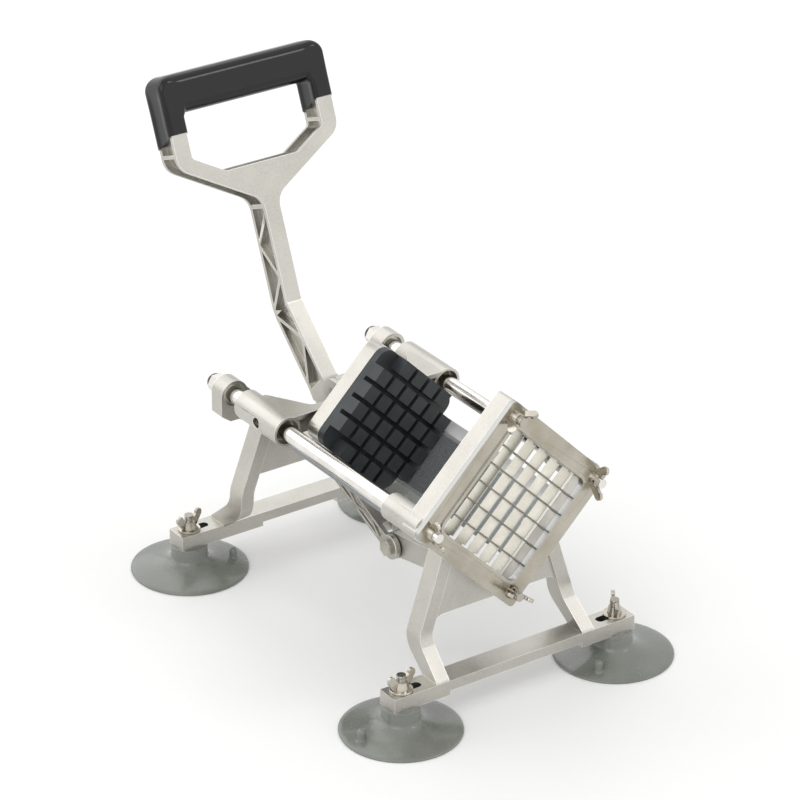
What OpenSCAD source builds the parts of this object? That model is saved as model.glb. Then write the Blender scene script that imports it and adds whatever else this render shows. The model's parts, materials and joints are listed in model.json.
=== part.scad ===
// Bench-top french fry cutter: a lever pushes a head along two rods, and the head presses a potato
// through a crossed set of blades. X runs across, Y from the blades to the rear, Z up.
// The origin is on the bench, under the middle of the machine's overall box.
// Depths called "behind" are measured from the front edges of the blades.

/* [Stance] */
// Distance between the feet across the machine
foot_span_x = 162; // [150:1:170]
// Distance between the front and rear feet
foot_span_y = 242; // [230:1:260]
// Height of the underside of the two foot bars
bar_low = 18; // [16:0.5:20]
// Thickness of the foot bars at their ends
bar_t = 10; // [9:0.5:12]
// Depth of the foot bars, front to back
bar_depth = 16; // [15:0.5:18]
// How far a foot bar reaches past the middle of its foot
bar_overhang = 10; // [9:0.5:13]
// How far the thin middle of a foot bar is raised under its ends
bar_relief = 3; // [1:0.5:4]
// Length of the thick ends of the front foot bar
front_bar_end = 41; // [36:1:44]
// Length of the thick ends of the rear foot bar
rear_bar_end = 62; // [58:1:64]

/* [Suction cups] */
// Radius of the rim of a suction cup
cup_r = 38.5; // [34:0.5:40]
// Thickness of a cup at its rim
cup_rim_t = 1.4; // [1:0.1:2.5]
// Height of the cup's shoulder, where the hub starts
cup_rise = 9; // [7:0.5:11]
// Height of the hollow under a cup
cup_hollow = 3.8; // [3:0.1:4.5]
// Radius of the cup's hub
hub_r = 12; // [11:0.5:14]
// Distance of the pull tab from the cup's middle
tab_out = 29; // [24:0.5:31]
// Radius of the pull tab
tab_r = 2.6; // [2:0.1:3]
// Height of the tip of the pull tab
tab_top = 10.5; // [9:0.5:13]

/* [Fasteners] */
// Radius of the studs in the feet and the blade frame
stud_r = 2.9; // [2.5:0.1:3.2]
// Height of the top of a foot stud
stud_top = 39; // [37:0.5:42]
// Radius of the stud's head, moulded into the hub
stud_head_r = 8; // [6:0.5:9]
// Thickness of the stud's head
stud_head_t = 3; // [2:0.5:4]
// Radius of the washers at the feet
washer_r = 7.4; // [6.5:0.1:8]
// Thickness of the washers at the feet
washer_t = 1.4; // [1:0.1:2]
// Radius of a wing nut's hub
wing_hub_r = 4.7; // [4.3:0.1:5.2]
// Height of a wing nut's hub
wing_hub_h = 5; // [4:0.5:6]
// Reach of a wing from the nut's middle
wing_reach = 11; // [9.5:0.5:12]
// Height of a wing's tip
wing_h = 11; // [9:0.5:12]
// Thickness of a wing
wing_t = 2; // [1.5:0.1:2.4]
// Radius of a wing's round tip
wing_tip_r = 2.6; // [2:0.1:3]
// Gap between a stud and the hole that it passes through
stud_gap = 0.2; // [0.1:0.05:0.4]

/* [Blades] */
// Height of the middle of the blades over the bench
axis_z = 131.2; // [130:0.2:133]
// Side of one chip, from blade to blade
chip = 12.7; // [12:0.1:13]
// Number of chips across the blades
chips = 6; // [6:1:6]
// Thickness of a blade
blade_t = 0.9; // [0.6:0.1:1.2]
// Depth of a blade, front to back
blade_depth = 9; // [7:0.5:9.5]
// How far a blade's end reaches into the cartridge
blade_tail = 3; // [2:0.25:3.4]
// Half the side of the square blade plate
plate_half = 50.6; // [49:0.2:51]
// Thickness of the blade plate
plate_t = 3.8; // [3:0.1:4.2]
// How far the blade plate stands in front of the blades
plate_lead = 1.3; // [1:0.1:2]
// Radius of the plate's outer corners
plate_corner = 3; // [2:0.5:5]
// Radius of the corners of the window in the blade plate
window_corner = 5; // [3:0.5:7]
// Height of the rim round the window of the blade plate
rim_h = 1; // [0.5:0.1:1.5]
// Width of the rim round the window of the blade plate
rim_w = 2.2; // [1.5:0.1:3]
// Half the side of the blade cartridge
cartridge_half = 42.4; // [41.8:0.2:43]
// Depth of the blade cartridge
cartridge_depth = 7.6; // [7:0.1:8]
// Distance of the blade studs from the middle of the blades
stud_out = 60; // [59.5:0.1:61]
// How far a blade stud stands in front of the blade plate
stud_lead = 9; // [7:0.5:11]

/* [Castings] */
// Thickness of the square front frame behind the blade plate
ring_t = 12.9; // [12:0.1:14]
// Gap round the cartridge in the front frame
ring_gap = 0.8; // [0.4:0.1:1.2]
// Distance of a guide rod from the middle of the machine
rod_x = 60.8; // [60:0.1:61.4]
// Radius of a guide rod
rod_r = 5.3; // [5:0.1:5.6]
// Length of the bosses behind the front frame
boss_len = 23.4; // [20:0.2:25]
// Radius of those bosses
boss_r = 8.8; // [8:0.1:9.5]
// Depth of the front face of the legs behind the blades
leg_y = 14; // [13:0.5:15]
// Thickness of the legs, front to back
leg_t = 14; // [12:0.5:15]
// Half width across the legs at their tops
leg_top_x = 41; // [39:0.5:43]
// Height of the tops of the legs
leg_top_z = 103; // [100:1:106]
// Half width across the knees of the legs
leg_knee_x = 57.8; // [56:0.2:59]
// Height of the knees of the front legs
front_knee_z = 50; // [46:1:53]
// Height of the knees of the rear legs
rear_knee_z = 58; // [54:1:61]
// Half width across the feet of the legs
leg_foot_x = 59.8; // [58:0.2:61]
// Height at which a leg bends forward to its foot bar
leg_bend_z = 47; // [44:1:50]
// Width of a leg, across the machine
leg_w = 9.4; // [8.5:0.1:10.5]
// Rounding of a leg's bends
leg_round = 14; // [8:1:18]
// Height of the lower edge of the panel between the front legs
front_web_z = 60.5; // [57:0.5:60.5]
// Height of the lower edge of the panel between the rear legs
rear_web_z = 69; // [66:0.5:71]
// Thickness of the panel between the front legs
front_web_t = 8; // [6:0.5:9]
// Thickness of the panel between the rear legs
rear_web_t = 12.4; // [12.4:0.2:14]
// Rounding of the corners between the front panel and its legs
web_round = 8; // [4:1:10]
// Length of the rear lugs that hold the rods
lug_len = 12; // [11:0.5:13]
// How far the foot of a rear lug lies below its rod
lug_drop = 18; // [15:0.5:20]
// Radius of the rear lugs
lug_r = 9.8; // [9:0.1:10.5]
// Radius of the recess round the rod in the front of a rear lug
lug_recess_r = 7.6; // [6.8:0.1:8]
// Depth of that recess
lug_recess = 3; // [2:0.5:5]
// Width of the arms from the rear legs to the lugs
lug_arm_w = 17; // [14:0.5:18]
// Thickness of the arms from the rear legs to the lugs
lug_arm_t = 8; // [6:0.5:9]

/* [Trough] */
// Half the distance between the faces of the sloping walls, across the potato
trough_half = 38.1; // [37.9:0.1:38.5]
// Thickness of the trough's sheet
trough_t = 2.4; // [2:0.1:3]
// Half width of the slot along the bottom of the trough
slot_half = 9.4; // [9.2:0.1:10]
// Half width at which a wall turns out into its flange
flange_in_x = 38.4; // [37:0.2:40]
// Half width of the outer edge of a flange
flange_out_x = 50.5; // [49:0.5:51]
// Height of the turned-down lip of a flange
flange_lip = 5; // [4:0.5:7]
// Distance up a wall from its lower edge to the trough screws
trough_screw_up = 22; // [18:1:26]
// Radius of the trough screws
trough_screw_r = 1.8; // [1.5:0.1:2]

/* [Guide rods] */
// Radius of the threaded ends of a rod
rod_end_r = 3; // [2.6:0.1:3.4]
// Radius over the flats of the nuts at the rear of the rods
acorn_r = 6; // [5.4:0.1:6.4]
// Length of the six-sided part of those nuts
acorn_hex = 9.5; // [8:0.25:10]
// Running gap between a rod and its bushings
rod_gap = 0.06; // [0.04:0.01:0.1]

/* [Pusher] */
// Gap between the tubes of the pusher and the rear lugs, lever back
rear_gap = 15; // [14:0.5:16]
// Length of the square posts of the pusher block
post_len = 10; // [8:0.5:11]
// Side of one post
post_w = 9.8; // [9:0.1:10.2]
// Thickness of the base of the pusher block
block_base_t = 5.8; // [5:0.1:7]
// Half the side of the pusher block and the plate behind it
block_half = 36.6; // [36:0.1:36.8]
// Rounding of the corners of the block and its plate
block_corner = 8; // [6:0.5:9]
// Thickness of the plate behind the block
head_plate_t = 11.4; // [10:0.2:12]
// Gap between that plate and the mouths of the tubes
head_step = 3.5; // [3:0.5:5]
// Length of the tubes that slide on the rods
tube_len = 46.5; // [42:0.5:48]
// Radius of those tubes
tube_r = 10; // [9.6:0.1:10.4]
// Outer radius of the bushings in the tubes
bushing_r = 6.9; // [6.6:0.1:7.4]
// Length of a bushing
bushing_len = 10; // [8:0.5:10]
// Radius of the wider mouth at each end of a tube
mouth_r = 8.2; // [7.6:0.1:8.4]
// Depth of that mouth
mouth_depth = 7; // [5:0.5:7]
// Radius of the oil hole in the side of a tube
oil_r = 3.4; // [2.8:0.1:3.5]
// Distance of the oil hole behind the mouth of its tube
oil_back = 21.5; // [21:0.5:24]
// How far the top plate between the tubes lies below the top of the tubes
bridge_drop = 0.8; // [0.5:0.1:1.5]
// Thickness of the top plate that bridges the tubes
bridge_t = 3.2; // [2.5:0.1:4]
// Half width at which the bridge reaches its narrow part
bridge_waist_x = 37; // [33:1:40]
// Depth of the narrow part of the bridge
bridge_waist = 7.5; // [6:0.5:10]
// Depth of the bridge beside the tubes
bridge_side = 36; // [32:1:40]
// Thickness of the ribs under the bridge
rib_t = 4; // [3:0.5:5]
// Height of the ribs under the bridge
rib_h = 15; // [12:0.5:18]
// Distance of the block's screws from the middle of the block, across and up
screw_out = 18; // [17.5:0.5:20]
// Half width of the core that carries the lever's ears
core_x = 14; // [12:0.5:17]
// Depth of that core behind the plate
core_depth = 16; // [13:0.5:17]
// Height of the core
core_h = 22; // [20:0.5:24]
// Radius of the ears round the lever's pivot
ear_r = 9; // [8.5:0.1:9.4]
// Thickness of an ear
ear_t = 3.4; // [3:0.1:4]

/* [Lever] */
// Depth of the lever's pivot behind the mouths of the tubes
pivot_back = 30.5; // [29.5:0.1:31.5]
// Half thickness of the lever's stem
stem_x = 5.6; // [5.4:0.1:6.5]
// Half thickness of the lever where it passes between ears or cheeks
neck_x = 4.2; // [3.8:0.1:4.3]
// Gap beside the lever between the ears
side_gap = 0.4; // [0.3:0.05:0.5]
// Radius of the pivot bolts
bolt_r = 3.2; // [3:0.1:3.5]
// Running gap of the pivot bolts
bolt_gap = 0.06; // [0.04:0.01:0.1]
// Radius of the lever's eye at the pivot
eye_r = 9; // [8.5:0.1:9.4]
// Distance from the pivot to the knee of the lever
knee_len = 68.9; // [66:0.1:70]
// Angle of the knee over the horizontal, seen from the pivot
knee_angle = 28.4; // [27:0.1:30]
// Lean of the lower part of the stem
low_lean = 47.5; // [46:0.5:49]
// Lean of the upper part of the stem
top_lean = 22.7; // [21:0.1:24]
// Depth of the lower part of the stem, front to back
low_depth = 21.6; // [20:0.2:23]
// Depth of the upper part of the stem and the handle, front to back
top_depth = 20; // [18:0.2:21]
// Distance of the stem's front face behind the pivot
front_off = 34.2; // [33.4:0.2:35]
// Thickness of the flanges of the stem and handle
lever_flange = 2.8; // [2:0.1:3.5]
// Half thickness of the web between the flanges
lever_web = 1.6; // [1.2:0.1:2.4]
// Spacing of the slanted ribs along the upper stem
top_rib_pitch = 21.5; // [20:0.5:23]
// Spacing of the slanted ribs along the lower stem
low_rib_pitch = 25; // [23:0.5:26]
// Thickness of the slanted ribs
lever_rib = 2.4; // [1.8:0.1:3]
// Length of the lower stem below the knee
low_len = 54; // [52:0.5:56]
// How far the heel of the lever lies behind its pivot
heel_back = 24; // [22:0.5:26]
// How far the heel of the lever lies below its pivot
heel_drop = 16.7; // [15:0.5:18]
// Width of the lever's short lower arm
arm_w = 13; // [11:0.5:15]
// Radius of the eye at the end of the lower arm
end_eye_r = 8.2; // [7.5:0.1:8.4]

/* [Handle] */
// Half width over the sides of the D-shaped handle
d_out_x = 60.5; // [59:0.5:62]
// Half width between the sides of the handle
d_in_x = 49.3; // [48:0.5:50]
// Slope of the handle's shoulders
d_slope = 30; // [28:1:32]
// Distance from the pivot to the foot of the outer shoulder
d_low = 123.6; // [122:0.2:125]
// Height of the floor of the handle's opening over the foot of the outer shoulder
d_floor_up = 26.9; // [25.5:0.1:28]
// Half width of that floor
d_floor_x = 27; // [25:0.5:29]
// Height of the metal inside the grip over the foot of the outer shoulder
d_height = 89.4; // [88:0.2:91]
// Height of the metal bar inside the grip
d_bar_h = 17; // [14:0.5:18]
// Rounding of the handle's shoulders
d_round = 12; // [8:1:14]
// Height of the small rib on each side over the foot of the outer shoulder
d_rib_rise = 42.4; // [41:0.2:44]
// Distance from the top of the metal down to the underside of the grip
grip_drop = 20.5; // [19:0.5:22]
// Height of the grip
grip_h = 25.7; // [25:0.1:27]
// Rounding of the grip's edges along its length
grip_round = 6; // [4:0.5:8]
// Rounding of the grip's two upper corners, seen from the front
grip_corner = 9; // [7:0.5:9]
// Thickness of the grip over the front, rear and sides of the handle
sleeve_t = 1.3; // [1:0.1:2]
// Distance from the top of the metal down to the lower end of a sleeve at its front
sleeve_drop = 32.5; // [30:0.5:35]
// Tilt of the lower end of a sleeve
sleeve_tilt = 21.7; // [15:0.1:25]

/* [Link] */
// Distance of the link's lower pivot in front of the lever's pivot, lever back
anchor_ahead = 66; // [65:0.5:67]
// Height of the link's lower pivot
anchor_z = 49; // [48:0.5:50]
// Distance between the link's pivots
link_len = 80; // [79.5:0.1:80.5]
// Angle of the link over the horizontal, lever back
link_angle = 23; // [22.5:0.1:23.5]
// Width of the link
link_w = 10; // [9:0.2:11]
// Radius of the link's eyes
link_eye_r = 8.4; // [7.8:0.1:8.6]
// Thickness of each cheek of the link
cheek_t = 3.9; // [3.4:0.1:4]
// Depth of the hollows in the sides of the link
link_pocket = 2; // [1:0.1:2.4]
// Distance from the lower pivot to the bridge between the cheeks
bridge_from = 15; // [13:0.5:17]
// Distance from the lower pivot to the far end of that bridge
bridge_to = 48; // [40:0.5:52]
// Half thickness of the front casting's lug arm
lug_half = 4.2; // [3.8:0.1:4.3]
// Radius of the eye of the lug arm
lug_eye_r = 8.8; // [8:0.1:9]
// Height of the lug arm's upper edge where it leaves the panel
lug_root_top = 74; // [72:0.5:76]
// Height of the lug arm's lower edge where it leaves the panel
lug_root_low = 61.5; // [61:0.5:64]
// Radius over the flats of the pivot bolt's head and nut
bolt_head_r = 4.8; // [4.4:0.1:5]
// Thickness of the pivot bolt's head and nut
bolt_head_t = 3.4; // [2.8:0.1:4]

/* [Hidden] */
$fn = 48;
arc_steps = 6;
hex_sides = 6;
link_bays = 4;
quarter = 90;
half_turn = 180;
diamond_turn = 45;
cast = "#c9c7c2";
steel = "#d6d4cf";

foot_x = foot_span_x / 2;
bar_top = bar_low + bar_t;
bar_half = foot_x + bar_overhang;
window_half = chip * chips / 2;
ring_y = plate_t - plate_lead;
ring_back = ring_y + ring_t;
web_reach = (trough_half + trough_t) * sqrt(2);
lug_back = foot_span_y - leg_y;
lug_y = lug_back - lug_len;
trough_back = lug_back - rear_web_t / 2;
tube_back = lug_y - rear_gap;
tube_y = tube_back - tube_len;
head_top = axis_z + tube_r - bridge_drop;
head_back = tube_y - head_step;
block_y = head_back - head_plate_t - block_base_t - post_len;
pivot_y = tube_y + pivot_back;
anchor_y = pivot_y - anchor_ahead;
shoulder_y = ring_back - rod_r;
cheek_in = neck_x + side_gap;
cheek_out = cheek_in + cheek_t;
ear_in = neck_x + side_gap;
ear_out = ear_in + ear_t;
cut = 1;

// Places in the plane of the lever, measured from its pivot: back, up
knee = knee_len * [cos(knee_angle), sin(knee_angle)];
low_dir = [sin(low_lean), cos(low_lean)];
low_side = [cos(low_lean), -sin(low_lean)];
anchor = [anchor_y - pivot_y, anchor_z - axis_z];
link_dir = [cos(link_angle), sin(link_angle)];
lever_end = anchor + link_len * link_dir;
heel = [heel_back, -heel_drop];
d_floor = d_low + d_floor_up;
d_rib_up = d_low + d_rib_rise;
d_top = d_low + d_height;
grip_low = d_top - grip_drop;
grip_top = grip_low + grip_h;
sleeve_front = d_top - sleeve_drop;
grip_back = pivot_y + (grip_top - grip_round) * sin(top_lean)
    + (front_off + top_depth + sleeve_t - grip_round) * cos(top_lean) + grip_round;
mid_y = (grip_back - cup_r) / 2;
knee_up = knee[0] * sin(top_lean) + knee[1] * cos(top_lean);

// Length one along v
function unit(v) = v / norm(v);

// v turned by an angle
function turned(v, angle) =
    [v[0] * cos(angle) - v[1] * sin(angle), v[0] * sin(angle) + v[1] * cos(angle)];

// The points of corner b between a and c, rounded to the radius in its third value
function corner(a, b, c) =
    let (p = [b[0], b[1]])
    b[2] == 0 ? [p] :
    let (
        u = unit([a[0], a[1]] - p),
        v = unit([c[0], c[1]] - p),
        half = acos(u * v) / 2,
        centre = p + unit(u + v) * b[2] / sin(half),
        first = p + u * b[2] / tan(half) - centre,
        last = p + v * b[2] / tan(half) - centre,
        sweep = (half_turn - 2 * half) * sign(first[0] * last[1] - first[1] * last[0])
    )
    [for (i = [0 : arc_steps]) centre + turned(first, sweep * i / arc_steps)];

// A closed outline from corners [x, y, radius]
function outline(c) =
    let (n = len(c))
    [for (i = [0 : n - 1]) each corner(c[(i + n - 1) % n], c[i], c[(i + 1) % n])];

// A half outline and its mirror image, as one list of corners
function both(c) =
    concat(c, [for (i = [len(c) - 1 : -1 : 0]) [-c[i][0], c[i][1], c[i][2]]]);

// The corners of a square with rounded corners
function square_corners(half, r) =
    [[half, half, r], [-half, half, r], [-half, -half, r], [half, -half, r]];

// Moves a piece from depths behind the blades to its place over the bench
module placed() {
    translate([0, -mid_y, 0])
        children();
}

// Moves a piece drawn round the lever's pivot to its place
module at_pivot() {
    placed()
        translate([0, pivot_y, axis_z])
            children();
}

// A shape in X and Z, made solid from y0 to y1
module across(y0, y1) {
    translate([0, y1, 0])
        rotate([quarter, 0, 0])
            linear_extrude(y1 - y0)
                children();
}

// A shape in Y and Z, made solid from x0 to x1
module beside(x0, x1) {
    translate([x0, 0, 0])
        rotate([quarter, 0, quarter])
            linear_extrude(x1 - x0)
                children();
}

// A round bar along Y at [x, z]
module bar_y(at, r, y0, y1) {
    translate([at[0], y0, at[1]])
        rotate([-quarter, 0, 0])
            cylinder(r = r, h = y1 - y0);
}

// A round bar along X at [y, z]
module bar_x(at, r, x0, x1) {
    translate([x0, at[0], at[1]])
        rotate([0, quarter, 0])
            cylinder(r = r, h = x1 - x0);
}

// A flat strip from p to q
module strip(p, q, w) {
    translate(p)
        rotate(atan2(q[1] - p[1], q[0] - p[0]))
            translate([0, -w / 2])
                square([norm(q - p), w]);
}

// Children on both sides of the machine
module mirrored_x() {
    children();
    mirror([1, 0, 0])
        children();
}

// Children turned on edge round the middle of the blades, in X and Z
module on_edge() {
    translate([0, axis_z])
        rotate(diamond_turn)
            children();
}

// Half width over the legs at height z, with the knees at height knee_z
function leg_x(z, knee_z) =
    leg_top_x + (leg_knee_x - leg_top_x) * (leg_top_z - z) / (leg_top_z - knee_z);

// One leg seen from the front
module leg_face(knee_z) {
    polygon(outline([
        [leg_top_x, leg_top_z, 0],
        [leg_knee_x, knee_z, leg_round],
        [leg_foot_x, bar_top, 0],
        [leg_foot_x, bar_low, 0],
        [leg_foot_x - leg_w, bar_low, 0],
        [leg_foot_x - leg_w, bar_top, 0],
        [leg_knee_x - leg_w, knee_z, leg_round],
        [leg_top_x - leg_w, leg_top_z, 0]
    ]));
}

// One leg seen from the side, with the bend to its foot bar
module leg_side() {
    polygon(outline([
        [leg_y, leg_top_z, 0],
        [leg_y, leg_bend_z, leg_round],
        [-bar_depth / 2, bar_top, leg_round / 4],
        [-bar_depth / 2, bar_low, 0],
        [bar_depth / 2, bar_low, 0],
        [bar_depth / 2, bar_top, leg_round / 4],
        [leg_y + leg_t, leg_bend_z - leg_w / 2, leg_round],
        [leg_y + leg_t, leg_top_z, 0]
    ]));
}

// A foot bar with its slots, and the two legs on it
module stand(knee_z, bar_end) {
    mirrored_x()
        intersection() {
            across(-bar_depth, leg_y + leg_t)
                leg_face(knee_z);
            beside(0, bar_half)
                leg_side();
        }
    difference() {
        translate([-bar_half, -bar_depth / 2, bar_low])
            cube([2 * bar_half, bar_depth, bar_t]);
        translate([bar_end - bar_half, -bar_depth, bar_low - cut])
            cube([2 * (bar_half - bar_end), 2 * bar_depth, bar_relief + cut]);
        mirrored_x()
            translate([0, 0, bar_low - cut])
                linear_extrude(bar_t + 2 * cut)
                    foot_slot();
    }
}

// The slot in which a foot stud can be shifted
module foot_slot() {
    slot_r = stud_r + stud_gap;
    slot_len = 1.5 * washer_r;
    for (x = [foot_x - slot_len, foot_x])
        translate([x, 0])
            circle(r = slot_r);
    translate([foot_x - slot_len, -slot_r])
        square([slot_len, 2 * slot_r]);
}

// The panel between two legs, cut to a V under the trough down to a floor
module web_face(low, knee_z, floor_z) {
    difference() {
        polygon(outline(both([
            [leg_top_x - leg_w / 2, leg_top_z + leg_w, 0],
            [leg_x(low, knee_z) - leg_w / 2, low, 0]
        ])));
        intersection() {
            on_edge()
                square(2 * (trough_half + trough_t), center = true);
            translate([-leg_foot_x, floor_z])
                square([2 * leg_foot_x, web_reach]);
        }
    }
}

// The rounded corner between the lower edge of the front panel and a leg
module web_corner() {
    inner_x = leg_x(front_web_z, front_knee_z) - leg_w;
    knee_in = [leg_knee_x - leg_w, front_knee_z];
    polygon(concat(
        [[inner_x + leg_w / 2, front_web_z + leg_w / 2]],
        corner([0, front_web_z], [inner_x, front_web_z, web_round], knee_in)
    ));
}

module front_casting() {
    color(cast)
        placed()
            difference() {
                union() {
                    stand(front_knee_z, front_bar_end);
                    across(ring_y, ring_back)
                        on_edge()
                            polygon(outline(square_corners(plate_half, plate_corner)));
                    across(ring_back, ring_back + front_web_t) {
                        web_face(front_web_z, front_knee_z, front_web_z);
                        mirrored_x()
                            web_corner();
                    }
                    mirrored_x()
                        bar_y([rod_x, axis_z], boss_r, ring_y + cut, ring_back + boss_len);
                    lug_arm();
                }
                across(ring_y - cut, ring_back + cut)
                    on_edge()
                        square(2 * window_half, center = true);
                across(ring_y - cut, ring_y + cartridge_depth)
                    on_edge()
                        square(2 * (cartridge_half + ring_gap), center = true);
                mirrored_x() {
                    bar_y([rod_x, axis_z], rod_r, shoulder_y, ring_back + boss_len + cut);
                    bar_y([rod_x, axis_z], rod_end_r + stud_gap, ring_y - cut, shoulder_y + cut);
                    trough_screw_hole(ring_back + front_web_t / 2);
                }
                for (z = [-stud_out, stud_out])
                    bar_y([0, axis_z + z], stud_r, ring_y - cut, shoulder_y);
                bar_x([anchor_y, anchor_z], bolt_r + bolt_gap, -lug_half - cut, lug_half + cut);
            }
}

// The arm behind the front panel that carries the link's lower pivot
module lug_arm() {
    beside(-lug_half, lug_half) {
        translate([anchor_y, anchor_z])
            circle(r = lug_eye_r);
        polygon([
            [ring_back, lug_root_top],
            [ring_back, lug_root_low],
            [anchor_y - lug_eye_r * cos(diamond_turn), anchor_z - lug_eye_r * sin(diamond_turn)],
            [anchor_y, anchor_z],
            [anchor_y, anchor_z + lug_eye_r]
        ]);
    }
}

// Draws its children mirrored front to back, for the rear stand
module rear_side() {
    translate([0, foot_span_y, 0])
        mirror([0, 1, 0])
            children();
}

// An arm from the top of a rear leg out to its lug
module lug_arm_face() {
    reach = lug_arm_w / 2;
    polygon(outline([
        [rod_x, axis_z + lug_r / 2, 0],
        [rod_x - lug_r, axis_z + reach / 2, reach],
        [leg_top_x - leg_w, leg_top_z, 0],
        [leg_top_x - leg_w, leg_top_z - reach, 0],
        [leg_top_x, leg_top_z, 0],
        [rod_x - reach, axis_z - 2 * lug_r - reach / 4, reach],
        [rod_x, axis_z - lug_drop + lug_r / 4, 0]
    ]));
}

// A rear lug seen from the front: round over the rod, with upright sides below it
module lug_face() {
    translate([rod_x, axis_z]) {
        circle(r = lug_r);
        polygon([
            [lug_r, 0],
            [lug_r, lug_r / 2 - lug_drop],
            [lug_r / 3, -lug_drop],
            [-lug_r / 2, -lug_drop],
            [-lug_r, 0]
        ]);
    }
}

module rear_casting() {
    color(cast)
        placed()
            difference() {
                union() {
                    rear_side()
                        stand(rear_knee_z, rear_bar_end);
                    across(lug_back - rear_web_t, lug_back)
                        web_face(rear_web_z, rear_knee_z, axis_z - web_reach + slot_half);
                    mirrored_x() {
                        difference() {
                            across(lug_y, lug_y + lug_arm_t)
                                lug_arm_face();
                            across(lug_y - cut, trough_back)
                                trough_face();
                        }
                        across(lug_y, lug_back)
                            lug_face();
                    }
                }
                mirrored_x() {
                    bar_y([rod_x, axis_z], lug_recess_r, lug_y - cut, lug_y + lug_recess);
                    bar_y([rod_x, axis_z], rod_r, lug_y - cut, lug_back - washer_t);
                    bar_y([rod_x, axis_z], rod_end_r + stud_gap, lug_y, lug_back + cut);
                    trough_screw_hole(trough_back - rear_web_t / 4);
                }
            }
}

// One wall of the trough seen from the front, with its flange and lip
module trough_face() {
    drop = (trough_half) * sqrt(2);
    outer_drop = web_reach;
    flange_z = axis_z - drop + flange_in_x;
    polygon([
        [slot_half, axis_z - drop + slot_half],
        [flange_in_x, flange_z],
        [flange_out_x, flange_z],
        [flange_out_x, flange_z - flange_lip],
        [flange_out_x - trough_t, flange_z - flange_lip],
        [flange_out_x - trough_t, flange_z - trough_t],
        [flange_z - trough_t - axis_z + outer_drop, flange_z - trough_t],
        [slot_half, axis_z - outer_drop + slot_half]
    ]);
}

// Puts children at the middle of a trough screw's head, with +Z into the casting
module at_trough_screw(y) {
    up = trough_screw_up / sqrt(2);
    translate([slot_half + up, y, axis_z - trough_half * sqrt(2) + slot_half + up])
        rotate([0, quarter + diamond_turn, 0])
            children();
}

module trough_screw_hole(y) {
    at_trough_screw(y)
        cylinder(r = trough_screw_r, h = 4 * trough_t);
}

module trough_wall() {
    placed()
        difference() {
            across(ring_back, trough_back)
                trough_face();
            for (y = [ring_back + front_web_t / 2, trough_back - rear_web_t / 4])
                at_trough_screw(y)
                    screw_shape(stud_gap / 2);
        }
}

// A flush screw with a cone-shaped head, and a gap round it where a hole is cut
module screw_shape(gap) {
    translate([0, 0, -gap])
        cylinder(r1 = 2 * trough_screw_r + gap, r2 = trough_screw_r + gap, h = trough_screw_r + gap);
    cylinder(r = trough_screw_r + gap, h = trough_t + gap);
}

module trough_left() {
    color("#8f9192")
        mirror([1, 0, 0])
            trough_wall();
}

module trough_right() {
    color("#8f9192")
        trough_wall();
}

module trough_screws() {
    color(steel)
        placed()
            mirrored_x()
                for (y = [ring_back + front_web_t / 2, trough_back - rear_web_t / 4])
                    at_trough_screw(y) {
                        cylinder(r1 = 2 * trough_screw_r, r2 = trough_screw_r, h = trough_screw_r);
                        cylinder(r = trough_screw_r, h = 4 * trough_t);
                    }
}

module guide_rod() {
    placed() {
        bar_y([rod_x, axis_z], rod_r, shoulder_y, lug_back - washer_t);
        bar_y([rod_x, axis_z], rod_end_r, -plate_lead - stud_lead, shoulder_y);
        bar_y([rod_x, axis_z], rod_end_r, lug_back - washer_t, lug_back + acorn_hex);
    }
}

module guide_rod_left() {
    color(steel)
        mirror([1, 0, 0])
            guide_rod();
}

module guide_rod_right() {
    color(steel)
        guide_rod();
}

module rod_acorn_nuts() {
    color(steel)
        placed()
            mirrored_x()
                translate([rod_x, lug_back, axis_z])
                    rotate([-quarter, 0, 0])
                        difference() {
                            union() {
                                cylinder(r = acorn_r / cos(half_turn / hex_sides), h = acorn_hex, $fn = hex_sides);
                                translate([0, 0, acorn_hex])
                                    intersection() {
                                        sphere(r = acorn_r);
                                        cylinder(r = acorn_r, h = acorn_r);
                                    }
                            }
                            translate([0, 0, -cut])
                                cylinder(r = rod_end_r, h = acorn_hex + cut);
                        }
}

module blade_plate() {
    color("#cfc4b2")
        placed()
            difference() {
                union() {
                    across(-plate_lead, ring_y)
                        on_edge()
                            polygon(outline(square_corners(plate_half, plate_corner)));
                    across(-plate_lead - rim_h, ring_y)
                        on_edge()
                            polygon(outline(square_corners(window_half + rim_w, window_corner + rim_w)));
                }
                across(-plate_lead - rim_h - cut, ring_y + cut)
                    on_edge()
                        polygon(outline(square_corners(window_half, window_corner)));
                for (z = [-stud_out, stud_out])
                    bar_y([0, axis_z + z], stud_r + stud_gap, -plate_lead - cut, ring_y + cut);
                mirrored_x()
                    bar_y([rod_x, axis_z], rod_end_r + stud_gap, -plate_lead - cut, ring_y + cut);
            }
}

// Places children at each gap between two chips
module at_blades() {
    for (i = [1 : chips - 1])
        translate([i * chip - window_half, 0])
            children();
}

module blade_cartridge() {
    color(steel)
        placed()
            difference() {
                across(ring_y, ring_y + cartridge_depth)
                    difference() {
                        on_edge()
                            square(2 * cartridge_half, center = true);
                        on_edge()
                            square(2 * window_half, center = true);
                        for (at = [[0, stud_out], [0, -stud_out], [rod_x, 0], [-rod_x, 0]])
                            translate([at[0], axis_z + at[1]])
                                square(4 * stud_r, center = true);
                    }
                across(ring_y - cut, blade_depth)
                    on_edge()
                        for (turn = [0, quarter])
                            rotate(turn)
                                at_blades()
                                    square([blade_t, 2 * (window_half + blade_tail)], center = true);
            }
}

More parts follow.
